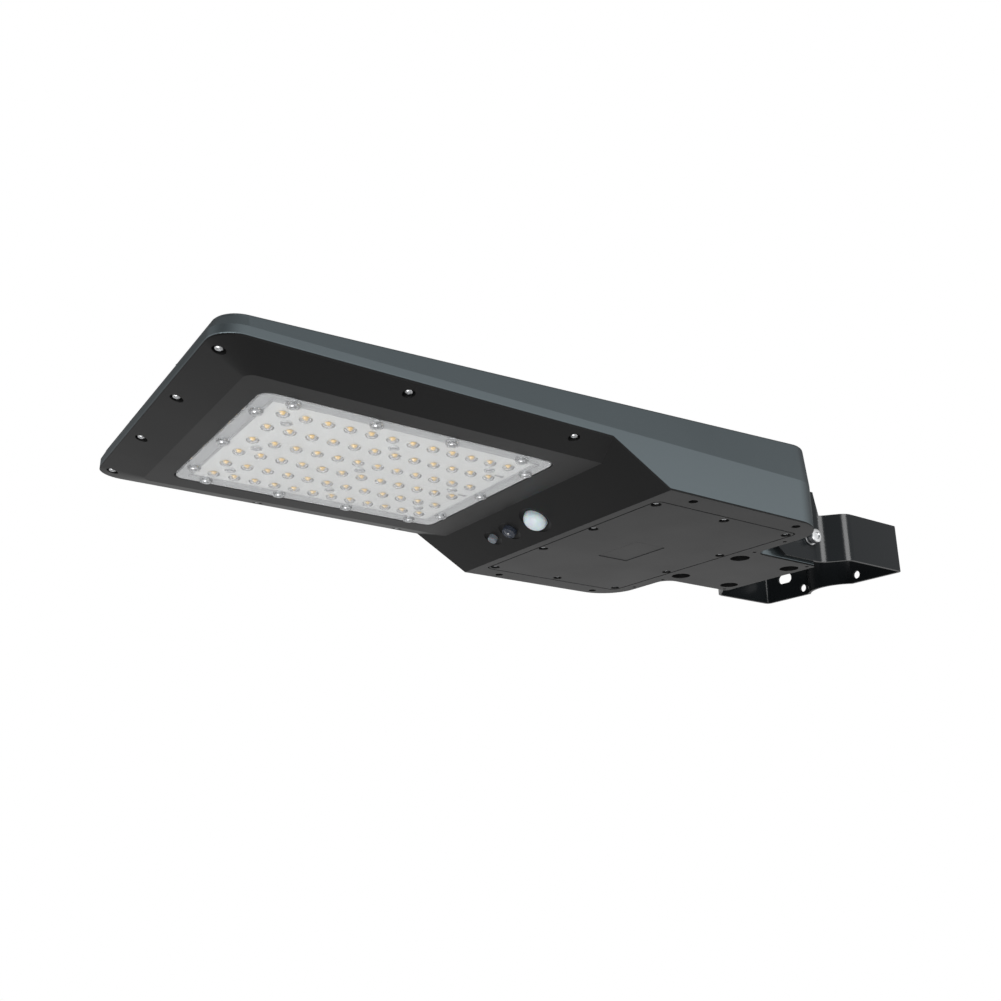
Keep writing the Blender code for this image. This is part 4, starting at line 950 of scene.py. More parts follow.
@dataclass(frozen=True)
class HeadShape:
    """The shape that the shell, tray and cover of the lamp head share."""

    lens_back_to_face: float = 3.0 * MM
    lens_proud: float = 0.1 * MM
    flange_width: float = 34.0 * MM
    flange_rise: float = 8.5 * MM
    plateau_corner: float = 8.0 * MM
    slope_angle: float = radians(29.05)
    cover_front_rim: float = 10.5 * MM
    cover_rear_rim: float = 17.4 * MM
    cover_corner: float = 6.0 * MM
    lens_corner: float = 9.0 * MM
    front_corner: float = 22.0 * MM
    rear_corner: float = 40.0 * MM
    arm_half: float = 65.0 * MM
    arm_top: float = 24.0 * MM
    arm_fillet: float = 15.0 * MM
    arm_corner: float = 4.0 * MM
    arm_least_corner: float = 0.5 * MM
    arm_run_on: float = 20.0 * MM
    crease_height: float = 8.6 * MM
    wall_draft: float = 3.1 * MM
    roof_front: float = 23.0 * MM
    roof_rear: float = 53.0 * MM
    roof_round: float = 3.0 * MM
    wall: float = 2.5 * MM
    sheet: float = 2.5 * MM
    tray_edge: float = 1.3 * MM
    tray: tuple[Vector, Vector] = field(default_factory=lambda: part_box("lower_housing"))
    lens: tuple[Vector, Vector] = field(default_factory=lambda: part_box("lens_plate"))
    cover: tuple[Vector, Vector] = field(default_factory=lambda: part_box("battery_cover"))

    @property
    def front_x(self) -> float:
        """Return the tip of the lamp."""
        return self.tray[1].x

    @property
    def arm_end_x(self) -> float:
        """Return the rear end of the arm."""
        return self.tray[0].x

    @property
    def half(self) -> float:
        """Return half of the body's width."""
        return self.tray[1].y

    @property
    def bottom_z(self) -> float:
        """Return the flat bottom of the battery box."""
        return self.tray[0].z

    @property
    def rear_x(self) -> float:
        """Return the rear wall of the body."""
        return self.cover[0].x - self.cover_rear_rim

    @property
    def foot_x(self) -> float:
        """Return where the sloped face meets the bottom."""
        return self.cover[1].x + self.cover_front_rim

    @property
    def lens_face_z(self) -> float:
        """Return the flat outer face of the lens plate."""
        return self.lens[1].z - self.lens_back_to_face

    @property
    def plateau_z(self) -> float:
        """Return the flat face around the lens plate."""
        return self.lens_face_z + self.lens_proud

    @property
    def parting_z(self) -> float:
        """Return the line where tray and shell meet."""
        return self.plateau_z + self.flange_rise

    @property
    def crease_z(self) -> float:
        """Return the crease along the walls."""
        return self.parting_z + self.crease_height

    @property
    def slope(self) -> float:
        """Return the rise of the sloped face for each unit of length."""
        return tan(self.slope_angle)

    @property
    def top_x(self) -> float:
        """Return where the sloped face meets the flat face."""
        return self.foot_x + (self.plateau_z - self.bottom_z) / self.slope

    @property
    def flange_slope(self) -> float:
        """Return the rise of the flange for each unit of width."""
        return self.flange_rise / self.flange_width

    @property
    def roof_angle(self) -> float:
        """Return how far the roof tilts down towards the tip."""
        return atan2(self.roof_rear - self.roof_front, self.front_x - self.rear_x)

    def roof_z(self, x: float) -> float:
        """Return the roof's height at a distance from the pole."""
        share = (x - self.rear_x) / (self.front_x - self.rear_x)
        return self.roof_rear + share * (self.roof_front - self.roof_rear)

    def slope_z(self, x: float) -> float:
        """Return the sloped face's height at a distance from the pole."""
        return self.bottom_z + (x - self.foot_x) * self.slope

    def body_outline(self, inset: float) -> list[Point2]:
        """Return the plan of the body without its arm, moved inwards."""
        return rectangle(self.rear_x + inset, self.front_x - inset, self.half - inset,
                         self.rear_corner - inset, self.front_corner - inset)

    def end_radius(self, inset: float) -> float:
        """Return the radius of the arm's end corners when they are moved inwards."""
        return max(self.arm_corner - inset, self.arm_least_corner)

    def full_outline(self, inset: float) -> list[Point2]:
        """Outline the body with its arm, seen from above.

        Args:
            inset: How far the outline is moved inwards.

        Returns:
            The closed outline.
        """
        rear, end = self.rear_x + inset, self.arm_end_x + inset
        half, arm = self.half - inset, self.arm_half - inset
        front = self.front_x - inset
        corners = [(rear, -half), (front, -half), (front, half), (rear, half),
                   (rear, arm), (end, arm), (end, -arm), (rear, -arm)]
        body = [self.rear_corner - inset, self.front_corner - inset]
        root = [self.arm_fillet + inset, self.end_radius(inset)]
        return rounded(corners, [*body, *reversed(body), *root, *reversed(root)])

    def arm_outline(self, inset: float) -> list[Point2]:
        """Outline the arm and its root fillets, run on into the body.

        Args:
            inset: How far the outline is moved inwards.

        Returns:
            The closed outline.
        """
        root = self.rear_x + GAP + inset
        arm = self.arm_half - inset
        flare = arm + self.arm_fillet + inset + 0.5 * MM
        half = [(self.rear_x + self.arm_run_on, flare), (root, flare), (root, arm),
                (self.arm_end_x + inset, arm)]
        other = [(x, -y) for x, y in reversed(half)]
        radii = [LEAST_RADIUS, 0.1 * MM, self.arm_fillet + inset, self.end_radius(inset)]
        return rounded(half + other, radii + list(reversed(radii)))

    def underside(self, name: str, lift: float) -> bpy.types.Object:
        """Build the space above the lamp's underside, run on past the body's plan.

        Args:
            name: Name of the solid.
            lift: How far it lies above the underside.

        Returns:
            The solid.
        """
        root = self.foot_x + 0.5 * (self.plateau_z - self.bottom_z) / self.slope
        inner = rectangle(root, self.front_x - self.flange_width, self.half - self.flange_width,
                          LEAST_RADIUS, self.plateau_corner)
        outer = rectangle(root, self.front_x + OVERRUN, self.half + OVERRUN, LEAST_RADIUS,
                          self.front_corner + OVERRUN)
        rim = self.parting_z + OVERRUN * self.flange_slope + lift
        loops = [[(x, y, self.plateau_z + lift) for x, y in inner],
                 [(x, y, rim) for x, y in outer], [(x, y, FAR) for x, y in outer]]
        top = self.foot_x + (FAR - self.bottom_z - lift) / self.slope
        low = self.bottom_z + lift
        rear = [(-FAR, low), (self.foot_x, low), (top, FAR), (-FAR, FAR)]
        block = side_slab(name + "_box", rear, self.half + OVERRUN)
        return Carving(loft(name, loops), Solver.MANIFOLD).join(block).bake(merge=False)

    def plate_slab(self, name: str, grow: float, z0: float, z1: float,
                   cover: bool = False) -> bpy.types.Object:
        """Build a slab shaped like the lens plate or the battery cover.

        Args:
            name: Name of the slab.
            grow: How far it reaches past the plate or cover.
            z0: Lower face.
            z1: Upper face.
            cover: Whether it is shaped like the cover.

        Returns:
            The slab.
        """
        low, high = self.cover if cover else self.lens
        radius = max((self.cover_corner if cover else self.lens_corner) + grow, LEAST_RADIUS)
        outline = rectangle(low.x - grow, high.x + grow, high.y + grow, radius, radius)
        return slab(name, outline, z0, z1)

    def sensor_frame(self, y: float) -> Matrix:
        """Find a place on the sloped face, at half its height.

        Args:
            y: Distance from the lamp's middle.

        Returns:
            The place as a matrix, +Z pointing out of the face.
        """
        x = (self.foot_x + self.top_x) / 2
        turn = Matrix.Rotation(pi - self.slope_angle, 4, "Y")
        return Matrix.Translation((x, y, self.slope_z(x))) @ turn


def centres(prefix: str) -> list[tuple[str, Vector, Vector]]:
    """Return the CAD nodes whose names start with a prefix, as (name, low corner, high corner)."""
    names = sorted(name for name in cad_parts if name.startswith(prefix))
    return [(name, *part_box(name)) for name in names]


def axes(prefix: str) -> list[Point2]:
    """Return the X and Y of the upright axes of the CAD nodes whose names start with a prefix."""
    return [((low.x + high.x) / 2, (low.y + high.y) / 2) for _, low, high in centres(prefix)]


def across_pivot(name: str, radius: float, *ends: float) -> bpy.types.Object:
    """Build a cylinder that lies along the pivot.

    Args:
        name: Name of the cylinder.
        radius: Its radius.
        ends: The lower and the higher Y of its ends.

    Returns:
        The cylinder.
    """
    low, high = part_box("pivot_washer_left")
    place = ((low.x + high.x) / 2, -(low.z + high.z) / 2)
    return rods(name, [(*place, radius, *ends)], matrix=Matrix.Rotation(-pi / 2, 4, "X"))


def piece_node(name: str, finish: Finish) -> None:
    """Dress a CAD node that is shown as it is.

    Args:
        name: Name of the node.
        finish: The finish that goes into its object's material slots.
    """
    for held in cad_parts[name].material_slots:
        held.material = finish.material()
    LOG.info("%s keeps its shape and gets %s", name, finish.name)


# ---------------------------------------------------------------- screws

@dataclass(frozen=True)
class Screw:
    """A screw whose head stands on its own XY plane, +Z pointing out of the surface."""

    head_radius: float
    head_height: float
    length: float
    shank_radius: float = 1.9 * MM
    drive: Drive = Drive.CROSS
    cross_reach: float = 0.58
    cross_width: float = 0.13
    cross_turn: float = 0.3
    steps: int = 28

    def profile(self) -> list[Point2]:
        """Outline one side of head and shank.

        Returns:
            Points as (radius, height).
        """
        radius, tall = self.head_radius, self.head_height
        crown = [(0.0, tall), (0.45 * radius, 0.98 * tall), (0.70 * radius, 0.88 * tall),
                 (0.88 * radius, 0.68 * tall), (0.97 * radius, 0.42 * tall), (radius, 0.18 * tall)]
        if self.drive is Drive.SOCKET:
            crown = [(0.0, tall), (0.88 * radius, tall), (radius, 0.88 * tall)]
        return [*crown, (radius, 0.0), (self.shank_radius, 0.0), (self.shank_radius, -self.length),
                (0.0, -self.length)]

    def recess(self, places: Sequence[Matrix]) -> bpy.types.Object:
        """Build the cutter of the recesses in the heads.

        Args:
            places: Where the screws stand.

        Returns:
            The cutter.
        """
        bm = bmesh.new()
        radius, tall = self.head_radius, self.head_height
        if self.drive is Drive.SOCKET:
            for place in places:
                bmesh.ops.create_cone(bm, cap_ends=True, segments=6, radius1=0.5 * radius,
                                      radius2=0.5 * radius, depth=1.1 * tall,
                                      matrix=place @ Matrix.Translation((0.0, 0.0, tall)))
            return mesh_object("recesses", bm)
        long, wide = self.cross_reach * radius, self.cross_width * radius
        cross: list[Point2] = []
        arm = [(long, -wide), (long, wide), (wide, wide)]
        for _ in range(4):
            cross += arm
            arm = [(-y, x) for x, y in arm]
        for place in places:
            turn = place @ Matrix.Rotation(self.cross_turn, 4, "Z")
            floor, mouth = ([bm.verts.new(turn @ Vector((x, y, z))) for x, y in cross]
                            for z in (0.55 * tall, 1.3 * tall))
            bm.faces.new(list(reversed(floor)))
            bm.faces.new(mouth)
            for index in range(len(cross)):
                bm.faces.new((floor[index - 1], floor[index], mouth[index], mouth[index - 1]))
        return mesh_object("recesses", bm)

    def build(self, name: str, places: Sequence[Matrix]) -> bpy.types.Object:
        """Build a row of these screws as one mesh.

        Args:
            name: Name of the mesh.
            places: Where the screws stand.

        Returns:
            The screws.
        """
        screws = turned(name, self.profile(), self.steps, *places)
        return shade(Carving(screws).cut(self.recess(places)).bake(), radians(35))


@dataclass
class Fasteners:
    """Every screw that shows on the underside of the head."""

    tray: "Tray"
    groups: tuple[tuple[str, Screw], ...] = (
        ("lens_screw", Screw(3.8 * MM, SCREW_HEAD_HEIGHT, 8.0 * MM)),
        ("cover_screw", Screw(3.3 * MM, SCREW_HEAD_HEIGHT, 9.0 * MM)),
        ("flange_screw", Screw(3.3 * MM, SCREW_HEAD_HEIGHT, 8.0 * MM)))
    rim_screw: Screw = Screw(3.3 * MM, SCREW_HEAD_HEIGHT, 6.0 * MM)
    cup_bolt: Screw = Screw(5.6 * MM, 3.6 * MM, 5.0 * MM, 2.6 * MM, Drive.SOCKET)

    def sunk(self, places: Sequence[Point2], depth: float) -> list[Matrix]:
        """Return screw places at a depth below the bottom of the battery box."""
        seat = self.tray.shape.bottom_z + depth - GAP
        return [facing(DOWN, (x, y, seat)) for x, y in places]

    def build(self) -> None:
        """Build all groups and dress them."""
        steel = BRIGHT_STEEL.material()
        for prefix, screw in self.groups:
            nodes = centres(prefix)
            seats = [facing(DOWN, (x, y, low.z + SCREW_HEAD_HEIGHT))
                     for (x, y), (_, low, _) in zip(axes(prefix), nodes)]
            row = screw.build(prefix + "s", seats)
            piece(row, steel, Body.HEAD, [name for name, _, _ in nodes])
        tray = self.tray
        rim = self.rim_screw.build("rim_screws", self.sunk(tray.rim_holes(), tray.rim_hole_depth))
        piece(rim, steel, Body.HEAD)
        cups = self.cup_bolt.build("cup_bolts", self.sunk(tray.cups(), tray.cup_depth))
        piece(cups, DARK_STEEL.material(), Body.HEAD)


# ---------------------------------------------------------------- upper shell and tray

@dataclass
class UpperShell:
    """The cast upper shell with its walls, roof frame, arm and pivot bosses."""

    shape: HeadShape
    panel_margin: float = 19.0 * MM
    panel_corner: float = 6.0 * MM
    seal_width: float = 2.4 * MM
    recess_depth: float = 4.8 * MM
    pivot_boss_radius: float = 10.8 * MM
    pivot_bore_radius: float = 4.4 * MM
    pull_half: float = 62.0 * MM
    pull_depth: float = 0.7 * MM
    pull_height: float = 5.5 * MM
    boss_seat: float = 3.0 * MM
    edge: float = 0.7 * MM
    edge_steps: int = 5

    def ring(self, inset: float, height: object) -> list[Point3]:
        """Return the body's plan at an inset, each point at a height that may depend on X."""
        return [(x, y, height(x)) for x, y in self.shape.body_outline(inset)]

    def outer(self) -> bpy.types.Object:
        """Build the outside of the walls and roof, with the crease and the rounded roof edge.

        Returns:
            The solid, closed at its foot.
        """
        shape = self.shape
        foot = shape.bottom_z - PAST
        drawn = shape.wall_draft
        loops = [self.ring(0.0, lambda x: foot), self.ring(0.0, lambda x: shape.crease_z),
                 self.ring(drawn, lambda x: shape.roof_z(x) - shape.roof_round)]
        for step in range(1, self.edge_steps + 1):
            angle = pi / 2 * step / self.edge_steps
            inset = drawn + shape.roof_round * (1 - cos(angle))
            drop = shape.roof_round * (1 - sin(angle))
            loops.append(self.ring(inset, lambda x, drop=drop: shape.roof_z(x) - drop))
        return loft("upper_shell_casting", loops)

    def panel_slab(self, name: str, grow: float, z0: float, z1: float) -> bpy.types.Object:
        """Build a slab in the roof's plane that is as large as the panel, grown by a margin.

        Args:
            name: Name of the slab.
            grow: How far it reaches past the panel.
            z0: Lower face below the roof's plane.
            z1: Upper face.

        Returns:
            The slab.
        """
        shape = self.shape
        length = (shape.front_x - shape.rear_x) / cos(shape.roof_angle)
        radius = self.panel_corner + grow
        outline = rectangle(self.panel_margin - grow, length - self.panel_margin + grow,
                            shape.half - self.panel_margin + grow, radius, radius)
        place = Matrix.Translation((shape.rear_x, 0.0, shape.roof_rear))
        return slab(name, outline, z0, z1, place @ Matrix.Rotation(shape.roof_angle, 4, "Y"))

    def build(self) -> None:
        """Build the casting and dress it."""
        shape = self.shape
        drawn = shape.wall_draft
        roof_sheet = self.recess_depth + shape.wall
        low = shape.bottom_z - 30 * MM
        inner = [self.ring(shape.wall, lambda x: low),
                 self.ring(shape.wall, lambda x: shape.crease_z),
                 self.ring(drawn + shape.wall, lambda x: shape.roof_z(x) - roof_sheet)]
        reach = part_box("upper_shell")[1].y
        boss_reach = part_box("pivot_washer_left")[0].y - self.boss_seat - 2 * GAP
        carving = Carving(self.outer())
        arm = slab("arm_block", shape.arm_outline(0.0), shape.bottom_z - PAST, shape.arm_top)
        carving.join(arm)
        carving.cut(loft("shell_hollow", inner))
        hollow = shape.arm_outline(shape.wall)
        carving.cut(slab("arm_hollow", hollow, low, shape.arm_top - shape.wall))
        carving.keep(shape.underside("wall_foot", shape.tray_edge + GAP))
        for side in Side:
            ends = sorted((side.value * (shape.arm_half - 1.2 * MM), side.value * boss_reach))
            carving.join(across_pivot("pivot_boss", self.pivot_boss_radius, *ends))
        carving.cut(across_pivot("pivot_bore", self.pivot_bore_radius, -reach, reach))
        grow = self.seal_width + 2 * GAP
        carving.cut(self.panel_slab("panel_recess", grow, -self.recess_depth, 20 * MM))
        pull = ((shape.front_x - shape.wall_draft, 0.0, shape.roof_z(shape.front_x)),
                (2 * (self.pull_depth + GAP), 2 * self.pull_half, 2 * self.pull_height))
        carving.cut(blocks("front_pull", [pull]))
        casting = soften(carving.bake(), self.edge, 3)
        crease(casting, shape.crease_z)
        piece(casting, GUNMETAL.material(), Body.HEAD, ["upper_shell"])


@dataclass
class SolarPanel:
    """The glass laminate in the roof and the seal around it."""

    shell: UpperShell
    thickness: float = 4.0 * MM
    cell_inset: float = 4.0 * MM
    rows: int = 4
    columns: int = 10

    def build(self) -> None:
        """Build laminate and seal and dress them."""
        low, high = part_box("solar_panel")
        inset = self.cell_inset
        cell = ((high.x - low.x - 2 * inset) / self.columns, 2 * (high.y - inset) / self.rows)
        finish = SolarFinish("solar_laminate", (0.006, 0.010, 0.030), 0.16, tone_drift=0.08,
                             start=(low.x + inset, 0.0), cell=cell, bar_pitch=cell[1] / 3,
                             constants=(("Coat Weight", 0.35), ("Coat Roughness", 0.04),
                                        ("Specular IOR Level", 0.3)))
        floor = GAP - self.shell.recess_depth
        top = floor + self.thickness
        laminate = soften(self.shell.panel_slab("solar_laminate", 0.0, floor, top), 0.4 * MM)
        piece(laminate, finish.material(), Body.HEAD, ["solar_panel"])
        grow = self.shell.seal_width + GAP
        carving = Carving(self.shell.panel_slab("roof_seal", grow, floor, top))
        carving.cut(self.shell.panel_slab("seal_window", GAP, -FAR, FAR))
        seal = soften(carving.bake(), 0.5 * MM)
        piece(seal, RUBBER.material(), Body.HEAD, ["panel_seal"])


@dataclass
class Tray:
    """The cast tray that closes the head from below."""

    shape: HeadShape
    flange_bore_radius: float = 5.0 * MM
    flange_bore_depth: float = 3.0 * MM
    flange_pad_radius: float = 6.25 * MM
    flange_pad_height: float = 4.0 * MM
    rim_hole_radius: float = 4.25 * MM
    rim_hole_inset: float = 11.6 * MM
    rim_hole_depth: float = 14.0 * MM
    cup_radius: float = 10.0 * MM
    cup_depth: float = 9.0 * MM
    cup_y: float = 43.7 * MM
    cup_front_inset: float = 2.2 * MM
    cup_rear_inset: float = 2.5 * MM
    cup_hole_radius: float = 3.2625 * MM
    pad_wall: float = 2.0 * MM
    pad_lift: float = 0.05 * MM
    tip_screw_inset: float = 10.4 * MM
    drain_radius: float = 2.0 * MM
    cover_gap: float = 1.3 * MM
    cover_ledge: float = 13.0 * MM
    lens_gap: float = 1.5 * MM
    dish_margin: float = 5.0 * MM
    dish_depth: float = 1.6 * MM

    def rim_holes(self) -> list[Point2]:
        """Place the deep screw holes beside the battery cover.

        Returns:
            Their centres.
        """
        shape = self.shape
        y = shape.half - self.rim_hole_inset
        middle = (shape.rear_x + shape.foot_x) / 2
        reach = 0.32 * (shape.foot_x - shape.rear_x)
        return [(middle + step * reach, side.value * y) for side in Side for step in (-1, 1)]

    def cups(self) -> list[Point2]:
        """Place the round recesses in the bottom of the arm.

        Returns:
            Their centres.
        """
        low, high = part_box("pivot_washer_left")
        rear = (low.x + high.x) / 2 + self.cup_rear_inset
        front = self.shape.rear_x - self.cup_front_inset
        return [(x, side.value * self.cup_y) for x in (rear, front) for side in Side]

    def drains(self) -> list[Point2]:
        """Place the small holes that water leaves by, on the arm and beside its root.

        Returns:
            Their centres.
        """
        shape = self.shape
        places = [(shape.arm_end_x + 8 * MM, shape.arm_half - 5 * MM),
                  (shape.rear_x + 2.5 * MM, shape.arm_half + 3 * MM),
                  (shape.rear_x + 6.6 * MM, shape.half - 51.3 * MM)]
        return [(x, side.value * y) for x, y in places for side in Side]

    def sheet(self) -> Carving:
        """Build the sheet of the casting, stepped where the walls come down over it.

        Returns:
            The sheet, ready for more steps.
        """
        shape = self.shape
        low = shape.bottom_z - PAST
        plan = slab("tray_casting", shape.full_outline(0.0), low, FAR / 2)
        carving = Carving(plan, Solver.MANIFOLD)
        carving.keep(shape.underside("underside_face", 0.0))
        carving.cut(shape.underside("underside_inner", shape.sheet))
        ring = Carving(slab("rim_step", shape.full_outline(-4 * MM), low, FAR / 2), Solver.MANIFOLD)
        ring.cut(slab("rim_core", shape.full_outline(shape.wall + 0.7 * MM), -FAR, FAR))
        ring.keep(shape.underside("rim_step_face", shape.tray_edge))
        return carving.cut(ring.bake())

    def dish(self, y: float, radius: float) -> bpy.types.Object:
        """Build the cutter of the stepped dish and port around a sensor.

        Args:
            y: Where the sensor is.
            radius: Radius of the sensor.

        Returns:
            The cutter.
        """
        rim = radius + self.dish_margin
        port = radius + 0.35 * MM
        profile = [(0.0, 10 * MM), (rim, 10 * MM), (rim, -0.35 * self.dish_depth),
                   (rim - 0.8 * MM, -0.45 * self.dish_depth), (port + 1.6 * MM, -self.dish_depth),
                   (port, -self.dish_depth), (port, -6 * MM), (0.0, -6 * MM)]
        return turned("dish", profile, 2 * ROUND_STEPS, self.shape.sensor_frame(y))

    def build(self, sensors: Sequence[Point2]) -> None:
        """Build the casting and dress it.

        Args:
            sensors: The sensors on the sloped face as (y, radius).
        """
        shape = self.shape
        low = shape.bottom_z
        carving = self.sheet()
        pads: list[Rod] = []
        bores: list[Rod] = []
        holes: list[Rod] = []
        for x, y in axes("flange_screw"):
            from_tip, from_side = shape.front_x - x, shape.half - abs(y)
            at_tip = abs(from_tip - self.tip_screw_inset) < MM
            face = shape.parting_z - (from_tip if at_tip else from_side) * shape.flange_slope
            pad_top = face + shape.sheet + self.flange_pad_height
            pads.append((x, y, self.flange_pad_radius, low, pad_top))
            bores.append((x, y, self.flange_bore_radius, low, face + self.flange_bore_depth))
            holes.append((x, y, SCREW_HOLE_RADIUS, low, FAR))
        rims = (self.rim_holes(), self.rim_hole_radius, self.rim_hole_depth, shape.sheet,
                SCREW_HOLE_RADIUS)
        cups = (self.cups(), self.cup_radius, self.cup_depth, self.pad_wall, self.cup_hole_radius)
        for places, radius, depth, roof, hole in (rims, cups):
            for x, y in places:
                pads.append((x, y, radius + self.pad_wall, low - PAST, low + depth + roof))
                bores.append((x, y, radius, low - PAST, low + depth))
                holes.append((x, y, hole, low - PAST, FAR))
        pad_mesh = Carving(rods("tray_pads", pads), Solver.MANIFOLD)
        carving.join(pad_mesh.keep(shape.underside("pad_face", self.pad_lift)).bake())
        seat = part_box("cover_gasket")[1].z + GAP
        carving.join(shape.plate_slab("cover_ledge", self.cover_gap + 2.4 * MM, low + self.pad_lift,
                                      seat + 2.5 * MM, cover=True))
        holes += [(x, y, SCREW_HOLE_RADIUS, seat - PAST, seat + 3.5 * MM)
                  for x, y in axes("cover_screw")]
        carving.cut(shape.plate_slab("cover_opening", -self.cover_ledge, -FAR, FAR, cover=True))
        carving.cut(shape.plate_slab("cover_pocket", self.cover_gap, -FAR, seat, cover=True))
        carving.cut(shape.plate_slab("lens_window", self.lens_gap, -FAR, FAR))
        carving.cut(rods("tray_bores", bores))
        carving.cut(rods("tray_holes", holes, HOLE_STEPS))
        ports = [(x, y, self.drain_radius, -FAR, FAR) for x, y in self.drains()]
        carving.cut(rods("drains", ports, HOLE_STEPS))
        for y, radius in sensors:
            carving.cut(self.dish(y, radius))
        casting = flatten(shade(carving.bake()))
        piece(casting, BLACK_COAT.material(), Body.HEAD, ["lower_housing"])


@dataclass
class BatteryCover:
    """The cover of the battery box, with stepped screw recesses and a label recess."""

    shape: HeadShape
    bore_radius: float = 4.7 * MM
    bore_depth: float = 3.7 * MM
    label_size: Point2 = (37.0 * MM, 59.0 * MM)
    label_depth: float = 0.4 * MM
    label_shift: float = 2.0 * MM
    edge: float = 0.35 * MM

    def build(self) -> None:
        """Build the cover and its gasket and dress them."""
        shape = self.shape
        low, high = shape.cover
        under = low.z - PAST
        carving = Carving(shape.plate_slab("cover_casting", 0.0, low.z, high.z, cover=True))
        places = axes("cover_screw")
        bores = [(x, y, self.bore_radius, under, low.z + self.bore_depth) for x, y in places]
        carving.cut(rods("cover_bores", bores))
        holes = [(x, y, SCREW_HOLE_RADIUS, under, FAR) for x, y in places]
        carving.cut(rods("cover_holes", holes, HOLE_STEPS))
        middle = (low.x + high.x) / 2 + self.label_shift
        long, wide = self.label_size[0] / 2, self.label_size[1] / 2
        outline = rectangle(middle - long, middle + long, wide, LEAST_RADIUS, LEAST_RADIUS)
        carving.cut(slab("label_recess", outline, under, low.z + self.label_depth))
        cover = soften(carving.bake(), self.edge)
        piece(cover, BLACK_COAT.material(), Body.HEAD, ["battery_cover"])
        piece_node("cover_gasket", RUBBER)


# ---------------------------------------------------------------- light source

@dataclass
class LightEngine:
    """The clear plate with its domes, and the board with its diodes behind it."""

    shape: HeadShape
    columns: int = 12
    rows: int = 6
    pitch: Point2 = (18.5 * MM, 30.9 * MM)
    rear_margin: float = 28.9 * MM
    skin: float = 1.9 * MM
    border: float = 12.0 * MM
    step_inset: float = 9.8 * MM
    step_height: float = 0.45 * MM
    dome_radius: float = 5.2 * MM
    dome_height: float = 2.9 * MM
    eye_radius: float = 3.5 * MM
    eye_height: float = 2.9 * MM
    cap_radius: float = 4.6 * MM
    cap_height: float = 1.3 * MM
    board_screw_head: float = 3.0 * MM
    boss_radius: float = 5.6 * MM
    boss_height: float = 2.2 * MM
    well_radius: float = 4.35 * MM
    board_thickness: float = 1.6 * MM
    board_hole_radius: float = 1.7 * MM
    chip_size: float = 3.6 * MM
    chip_height: float = 0.65 * MM
    phosphor_radius: float = 2.9 * MM
    phosphor_height: float = 2.5 * MM

    def diodes(self) -> list[Point2]:
        """Place the diodes.

        Returns:
            Their centres.
        """
        first_x = self.shape.lens[0].x + self.rear_margin
        first_y = -(self.rows - 1) * self.pitch[1] / 2
        return [(first_x + column * self.pitch[0], first_y + row * self.pitch[1])
                for column in range(self.columns) for row in range(self.rows)]

    def between(self, columns: Sequence[float], rows: Sequence[float]) -> list[Point2]:
        """Return places between the diodes.

        Args:
            columns: Column numbers, counted from the tip.
            rows: Row numbers, counted from the left side.

        Returns:
            The places.
        """
        last_x, last_y = self.diodes()[-1]
        return [(last_x - column * self.pitch[0], last_y - row * self.pitch[1])
                for column in columns for row in rows]

    def board_screws(self) -> list[Point2]:
        """Return the small screws that hold the board down."""
        return self.between((0.5, 5.5, 10.5), (0.5, 2.5, 4.5))

    def cap_profile(self) -> list[Point2]:
        """Outline one side of a cap over a board screw.

        Returns:
            Points as (radius, height).
        """
        radius, tall = self.cap_radius, self.cap_height
        return [(0.0, -0.6 * MM), (radius, -0.6 * MM), (radius, 0.55 * tall),
                (0.86 * radius, 0.92 * tall), (0.7 * radius, tall), (0.0, tall)]

    def pocket_profile(self) -> list[Point2]:
        """Return the profile of the pocket behind a cap."""
        radius, floor = 0.84 * self.cap_radius, 0.1 * self.cap_height
        return [(0.0, -4 * MM), (radius, -4 * MM), (radius, floor), (0.0, floor)]

    def build_plate(self) -> None:
        """Build the clear plate: border, step, domes, caps over the board's screws and wells."""
        shape = self.shape
        face = shape.lens_face_z
        raised = face - self.step_height
        inner = raised + self.skin
        out = Matrix.Rotation(pi, 4, "X")
        plate = shape.plate_slab("lens_moulding", 0.0, face, shape.lens[1].z)
        carving = Carving(plate, Solver.MANIFOLD)
        carving.join(shape.plate_slab("lens_step", -self.step_inset, raised, face + PAST))
        carving.cut(shape.plate_slab("lens_hollow", -self.border, inner, FAR))
        seats = [Matrix.Translation((x, y, raised)) @ out for x, y in self.diodes()]
        crown = dome(self.dome_radius, self.dome_height, 7)
        sunk = [(0.0, -0.6 * MM), (self.dome_radius, -0.6 * MM), *crown]
        carving.join(turned("lens_domes", sunk, 28, *seats))
        seats = [Matrix.Translation((x, y, inner)) @ out for x, y in self.diodes()]
        crown = dome(self.eye_radius, self.eye_height, 6)
        sunk = [(0.0, -2 * MM), (self.eye_radius, -2 * MM), *crown]
        carving.cut(turned("lens_eyes", sunk, HOLE_STEPS, *seats))
        seats = [Matrix.Translation((x, y, raised)) @ out for x, y in self.board_screws()]
        carving.join(turned("screw_caps", self.cap_profile(), 32, *seats))
        carving.cut(turned("screw_pockets", self.pocket_profile(), 32, *seats))
        wells = axes("lens_screw")
        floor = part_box("lens_screw_01")[0].z + SCREW_HEAD_HEIGHT + 0.02 * MM
        bosses = [(x, y, self.boss_radius, face - self.boss_height, face + PAST)
                  for x, y in wells]
        carving.join(rods("lens_bosses", bosses))
        bores = [(x, y, self.well_radius, face - 9 * MM, floor) for x, y in wells]
        carving.cut(rods("lens_wells", bores))
        holes = [(x, y, SCREW_HOLE_RADIUS, -FAR, FAR) for x, y in wells]
        carving.cut(rods("lens_holes", holes, HOLE_STEPS))
        plate = soften(carving.bake(merge=False), 0.35 * MM)
        piece(plate, CLEAR_MOULDING.material(), Body.HEAD, ["lens_plate"])

